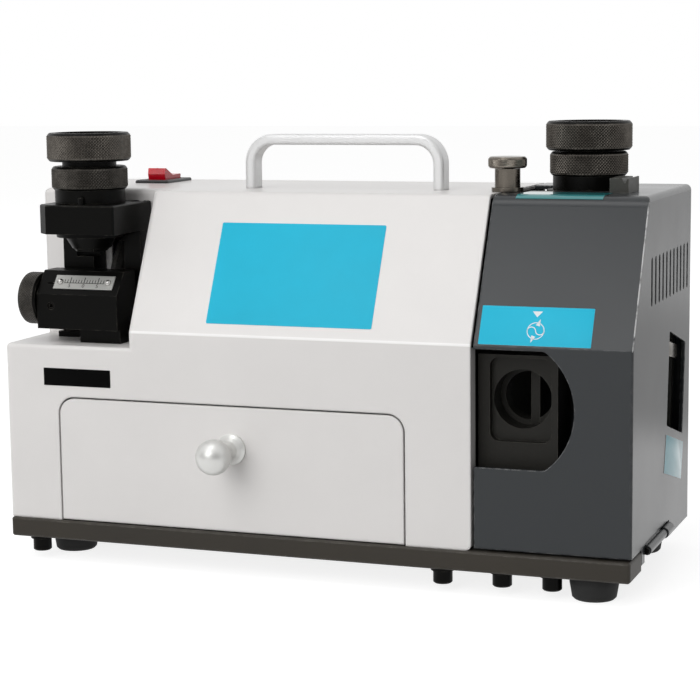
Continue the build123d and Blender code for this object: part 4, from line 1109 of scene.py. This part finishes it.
@dataclass
class FeedScale:
    """Marks and numbers printed on the scale plate of the feed."""

    step: float = 1.6
    count: int = 15
    numbers: tuple[tuple[int, str], ...] = ((2, "5"), (7, "0"), (12, "5"))
    short: Stroke = Stroke(0.36, 2.0, 0.45)
    tall: Stroke = Stroke(0.44, 3.4, 1.15)
    base_width: float = 0.34
    base_y: float = -0.55
    overhang: float = 0.4
    digit_size: float = 3.1
    digit_y: float = -3.2
    ink: float = 0.04
    reach: float = 0.05

    def build(self) -> None:
        """Models the marks and the numbers."""
        low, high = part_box("scale_plate")
        start = (low + high) / 2 + Vector((0.0, -self.reach, self.reach))
        place = seat("scale_plate", start, (0.0, 1.0, -1.0), UP)
        tall = [i for i, _ in self.numbers]
        short = [i for i in range(self.count) if i not in tall]
        base = plate(self.step * (self.count - 1) + self.overhang, self.base_width, self.ink)
        base.location.y = self.base_y * MM
        marks = [self.row(self.short, short), self.row(self.tall, tall), base]
        obj = join([*marks, *(self.digit(text, self.along(i)) for i, text in self.numbers)])
        settle(obj, "scale_marks", "machine_frame", place, [DARK_INK])

    def along(self, number: int) -> float:
        """Returns how far a mark lies to the right of the middle, in millimetres."""
        return self.step * number - self.step * (self.count - 1) / 2

    def row(self, stroke: Stroke, numbers: Sequence[int]) -> Object:
        """Models the marks of the scale that have these numbers, and returns them joined."""
        mark = plate(stroke.width, stroke.length, self.ink)
        return copies(mark, [(self.along(i), stroke.y, 0.0) for i in numbers])

    def digit(self, text: str, x: float) -> Object:
        """Models a digit, so many millimetres along the plate, and returns its mesh."""
        deselect()
        bpy.ops.object.text_add()
        obj = bpy.context.object
        obj.data.body = text
        obj.data.size = self.digit_size * MM
        obj.data.align_x = "CENTER"
        obj.data.extrude = self.ink / 2 * MM
        obj.data.resolution_u = 3
        bpy.ops.object.convert(target="MESH")
        obj = bpy.context.object
        obj.location = Vector((x, self.digit_y, self.ink / 2)) * MM
        return obj


@dataclass
class Rocker:
    """Marks for on and off on the rocker."""

    middle: Triple = (38.1, 113.0, 230.0)
    reach: float = 6.0
    bar: Pair = (0.7, 4.0)
    bar_corner: float = 0.2
    ring: Pair = (2.0, 1.35)
    ink: float = 0.06

    def build(self) -> None:
        """Models the bar and the ring."""
        bar = plate(*self.bar, self.ink, self.bar_corner, steps=2)
        settle(bar, "rocker_on_mark", "rocker", self.spot(-self.reach), [PALE_INK])
        circle = ring(*self.ring, self.ink)
        settle(circle, "rocker_off_mark", "rocker", self.spot(self.reach), [PALE_INK])

    def spot(self, back: float) -> Matrix:
        """Returns the spot on the rocker that lies so far behind its middle, in millimetres."""
        x, y, z = self.middle
        return seat("switch_rocker", at(x, y + back, z), FROM_TOP, BACK)


@dataclass(frozen=True)
class Lamp:
    """A soft box that looks at the machine."""

    name: str
    place: Triple
    size: Pair
    watts: float
    mirrored: bool = False
    aim: Triple = (0.0, 0.0, 0.1)

    def build(self) -> None:
        """Adds the lamp."""
        light = bpy.data.lights.new(self.name, "AREA")
        light.shape = "RECTANGLE"
        light.size, light.size_y = self.size
        light.energy = self.watts
        obj = bpy.data.objects.new(self.name, light)
        obj.location = self.place
        obj.visible_glossy = self.mirrored
        obj.rotation_euler = (Vector(self.aim) - Vector(self.place)).to_track_quat("-Z", "Y").to_euler()
        bpy.context.scene.collection.objects.link(obj)


@dataclass
class Studio:
    """Camera, floor, world and lamps."""

    eye: Triple = (531.59, -906.002, 233.73)
    yaw: float = 20.6113
    pitch: float = 8.0907
    roll: float = -0.6652
    focal: float = 2008.95
    picture: float = 700.0
    sensor: float = 36.0
    clip: Pair = (0.05, 20.0)
    ambient: float = 0.42
    shade: float = 0.35
    shade_x: Pair = (0.2, 1.0)
    room: float = 0.25
    room_y: Pair = (0.0, -0.6)
    room_z: Pair = (0.8, 0.35)
    floor_size: float = 14.0
    floor_z: float = -0.0002
    floor_grey: float = 0.42
    floor_glow: float = 0.82
    floor_dim: Pair = (0.34, 0.46)
    floor_lift: Pair = (1.0, 1.3)
    floor_low: float = 0.40
    floor_rise: float = 0.32
    lamps: tuple[Lamp, ...] = (
        Lamp("key", (-0.42, -1.65, 1.10), (1.2, 1.2), 12.3, True),
        Lamp("top", (-0.25, -0.6, 2.0), (1.0, 0.8), 5.8, True),
        Lamp("fill", (-0.2, -2.2, 0.4), (1.2, 1.0), 10.5),
        Lamp("left", (-2.0, -0.6, 0.9), (1.2, 1.0), 3.5),
        Lamp("back", (0.3, 2.0, 1.0), (1.2, 1.0), 7.0),
    )

    def build(self) -> None:
        """Builds the studio."""
        self.camera()
        self.floor()
        self.world()
        for lamp in self.lamps:
            lamp.build()
        bpy.context.scene.view_settings.view_transform = "Standard"

    def camera(self) -> None:
        """Adds the camera at the photograph's angle."""
        yaw, pitch, roll = (math.radians(a) for a in (self.yaw, self.pitch, self.roll))
        right = Vector((math.cos(yaw), math.sin(yaw), 0.0))
        ahead = Vector((-math.sin(yaw), math.cos(yaw), 0.0)) * math.cos(pitch) - Vector(UP) * math.sin(pitch)
        up = right.cross(ahead)
        side = right * math.cos(roll) + up * math.sin(roll)
        top = up * math.cos(roll) - right * math.sin(roll)
        data = bpy.data.cameras.new("camera")
        data.sensor_width = self.sensor
        data.lens = self.focal / self.picture * self.sensor
        data.clip_start, data.clip_end = self.clip
        obj = bpy.data.objects.new("camera", data)
        matrix = Matrix((side, top, -ahead)).transposed().to_4x4()
        matrix.translation = at(*self.eye)
        obj.matrix_world = matrix
        bpy.context.scene.collection.objects.link(obj)
        bpy.context.scene.camera = obj

    def floor(self) -> None:
        """Adds the floor: white with a soft shadow to the camera, dimmer in reflections at the back."""
        deselect()
        bpy.ops.mesh.primitive_plane_add(size=self.floor_size, location=(0.0, 0.0, self.floor_z))
        obj = bpy.context.object
        obj.name = "floor"
        material, tree, shader = new_material("floor")
        tree.tree.nodes.remove(shader)
        rays = tree.add("LightPath").outputs
        back = tree.add("SeparateXYZ", Vector=tree.place()).outputs["Y"]
        near = tree.ramp(back, *self.floor_dim, 1.0, self.floor_low)
        mirrored = tree.math("ADD", near, tree.ramp(back, *self.floor_lift, 0.0, self.floor_rise))
        mirrored = tree.math("MULTIPLY", mirrored, rays["Is Glossy Ray"])
        seen = tree.math("MAXIMUM", rays["Is Camera Ray"], mirrored)
        seen = tree.math("MAXIMUM", seen, rays["Is Transmission Ray"])
        matt = tree.add("BsdfDiffuse", Color=rgba((self.floor_grey,) * 3))
        glow = tree.add("Emission", Color=rgba(WHITE), Strength=tree.math("MULTIPLY", seen, self.floor_glow))
        both = tree.add("AddShader", i0=matt.outputs[0], i1=glow.outputs[0])
        tree.fill(tree.tree.nodes["Material Output"], Surface=both.outputs[0])
        obj.data.materials.append(material)

    def world(self) -> None:
        """Makes the world white to the camera and to most reflections, and a plain soft light elsewhere."""
        world = bpy.data.worlds.new("studio")
        world.use_nodes = True
        bpy.context.scene.world = world
        tree = Tree(world.node_tree)
        rays = tree.add("LightPath").outputs
        way = tree.add("SeparateXYZ", Vector=tree.add("TexCoord").outputs["Generated"]).outputs
        room = tree.math("MULTIPLY", tree.ramp(way["Y"], *self.room_y), tree.ramp(way["Z"], *self.room_z))
        mirrored = tree.ramp(room, 0.0, 1.0, 1.0, self.room)
        soft = tree.ramp(way["X"], *self.shade_x, self.ambient, self.ambient * self.shade)
        bounced = tree.math("MAXIMUM", rays["Is Glossy Ray"], rays["Is Transmission Ray"])
        strength = tree.math("MAXIMUM", rays["Is Camera Ray"], tree.ramp(bounced, 0.0, 1.0, soft, mirrored))
        tree.fill(tree.tree.nodes["Background"], Color=rgba(WHITE), Strength=strength)


def dress_frame() -> None:
    """Gives every CAD node its look."""
    for look, names in NODE_LOOKS:
        for name in names:
            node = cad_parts[name]
            node.data.materials.clear()
            node.data.materials.append(material_of(look))
            LOG.info("%s takes %s", name, look.name)


def chucks_and_grips() -> None:
    """Builds the knurl on both chucks and on the two small knobs."""
    Chuck("left", 171.2, RING_KNURL).build()
    Chuck("right", 177.0, KNURLED).build()
    Grip(
        "feed_knob_knurl", "feed_knob", "feed", radius=13.3, length=7.6, columns=60, rows=5, depth=0.4,
        look=DARK_KNURL, slot=Slot.BLACK_OXIDE, turn=90.0,
    ).build()
    Grip(
        "plunger_cap_knurl", "plunger_pin", "plunger", radius=9.5, length=3.8, columns=80, rows=5, depth=0.16,
        look=BRONZE_STEEL, slot=Slot.BRONZE_STEEL, under_top=2.8,
    ).build()


def films() -> None:
    """Builds the fields on the housing, and the films and the mark on the cover."""
    Film(
        "front_panel_film", "main_housing", "machine_frame", (88.4, 54.4), (156.1, -60.0, 130.3), FROM_FRONT,
        (BLUE_FILM, PALE_INK), Slot.WHITE_PAINT, thick=0.22, corner=0.8, steps=5, edge=0.06,
    ).build()
    Film(
        "station_field_film", "main_housing", "machine_frame", (38.4, 9.1), (39.6, -60.0, 75.5), FROM_FRONT,
        (BLACK_FILM,), Slot.BLACK_PLASTIC, thick=0.22,
    ).build()
    place = Film(
        "cover_front_film", "right_cover", "cover", (55.0, 19.6), (282.3, -60.0, 109.8), FROM_FRONT,
        (BLUE_FILM, PALE_INK), Slot.GREY_PAINT,
    ).build()
    ToolMark().build(place)
    tilt = math.radians(SIDE_FILM_TILT)
    Film(
        "cover_side_film", "right_cover", "cover", (44.6, 19.4), (400.0, 99.2, 32.5), FROM_RIGHT,
        (CYAN_FILM, PALE_INK), Slot.GREY_PAINT, up=(0.0, -math.sin(tilt), math.cos(tilt)),
    ).build()
    TopFilm().build()


def blocks() -> None:
    """Builds a dark strip inside the cover's back edge as painted shade, and the jaw of the seat behind the
    side slot.
    """
    # A black rubber strip in the gap at the cover's back edge, put there as painted shade.
    Block(
        "cover_back_shade_strip", "cover", (4.6, 150.0, 1.0), (253.0, 136.3, 84.0), turn=90.0, edge=0.3,
        look=RUBBER, slot=Slot.RUBBER, corner=0.8,
    ).build()
    Block(
        "side_jaw", "machine_frame", (11.0, 23.0, 8.0), (321.4, 109.5, 86.6), turn=-12.0, edge=0.8,
        look=BRONZE_STEEL, slot=Slot.BRONZE_STEEL,
    ).build()


def main() -> None:
    """Builds the studio and every piece."""
    logging.basicConfig(level=logging.INFO, format="%(name)s: %(message)s")
    Studio().build()
    dress_frame()
    chucks_and_grips()
    films()
    blocks()
    for piece in (PlungerSpring(), FeedScale(), Rocker()):
        piece.build()


if __name__ == "__main__":
    main()
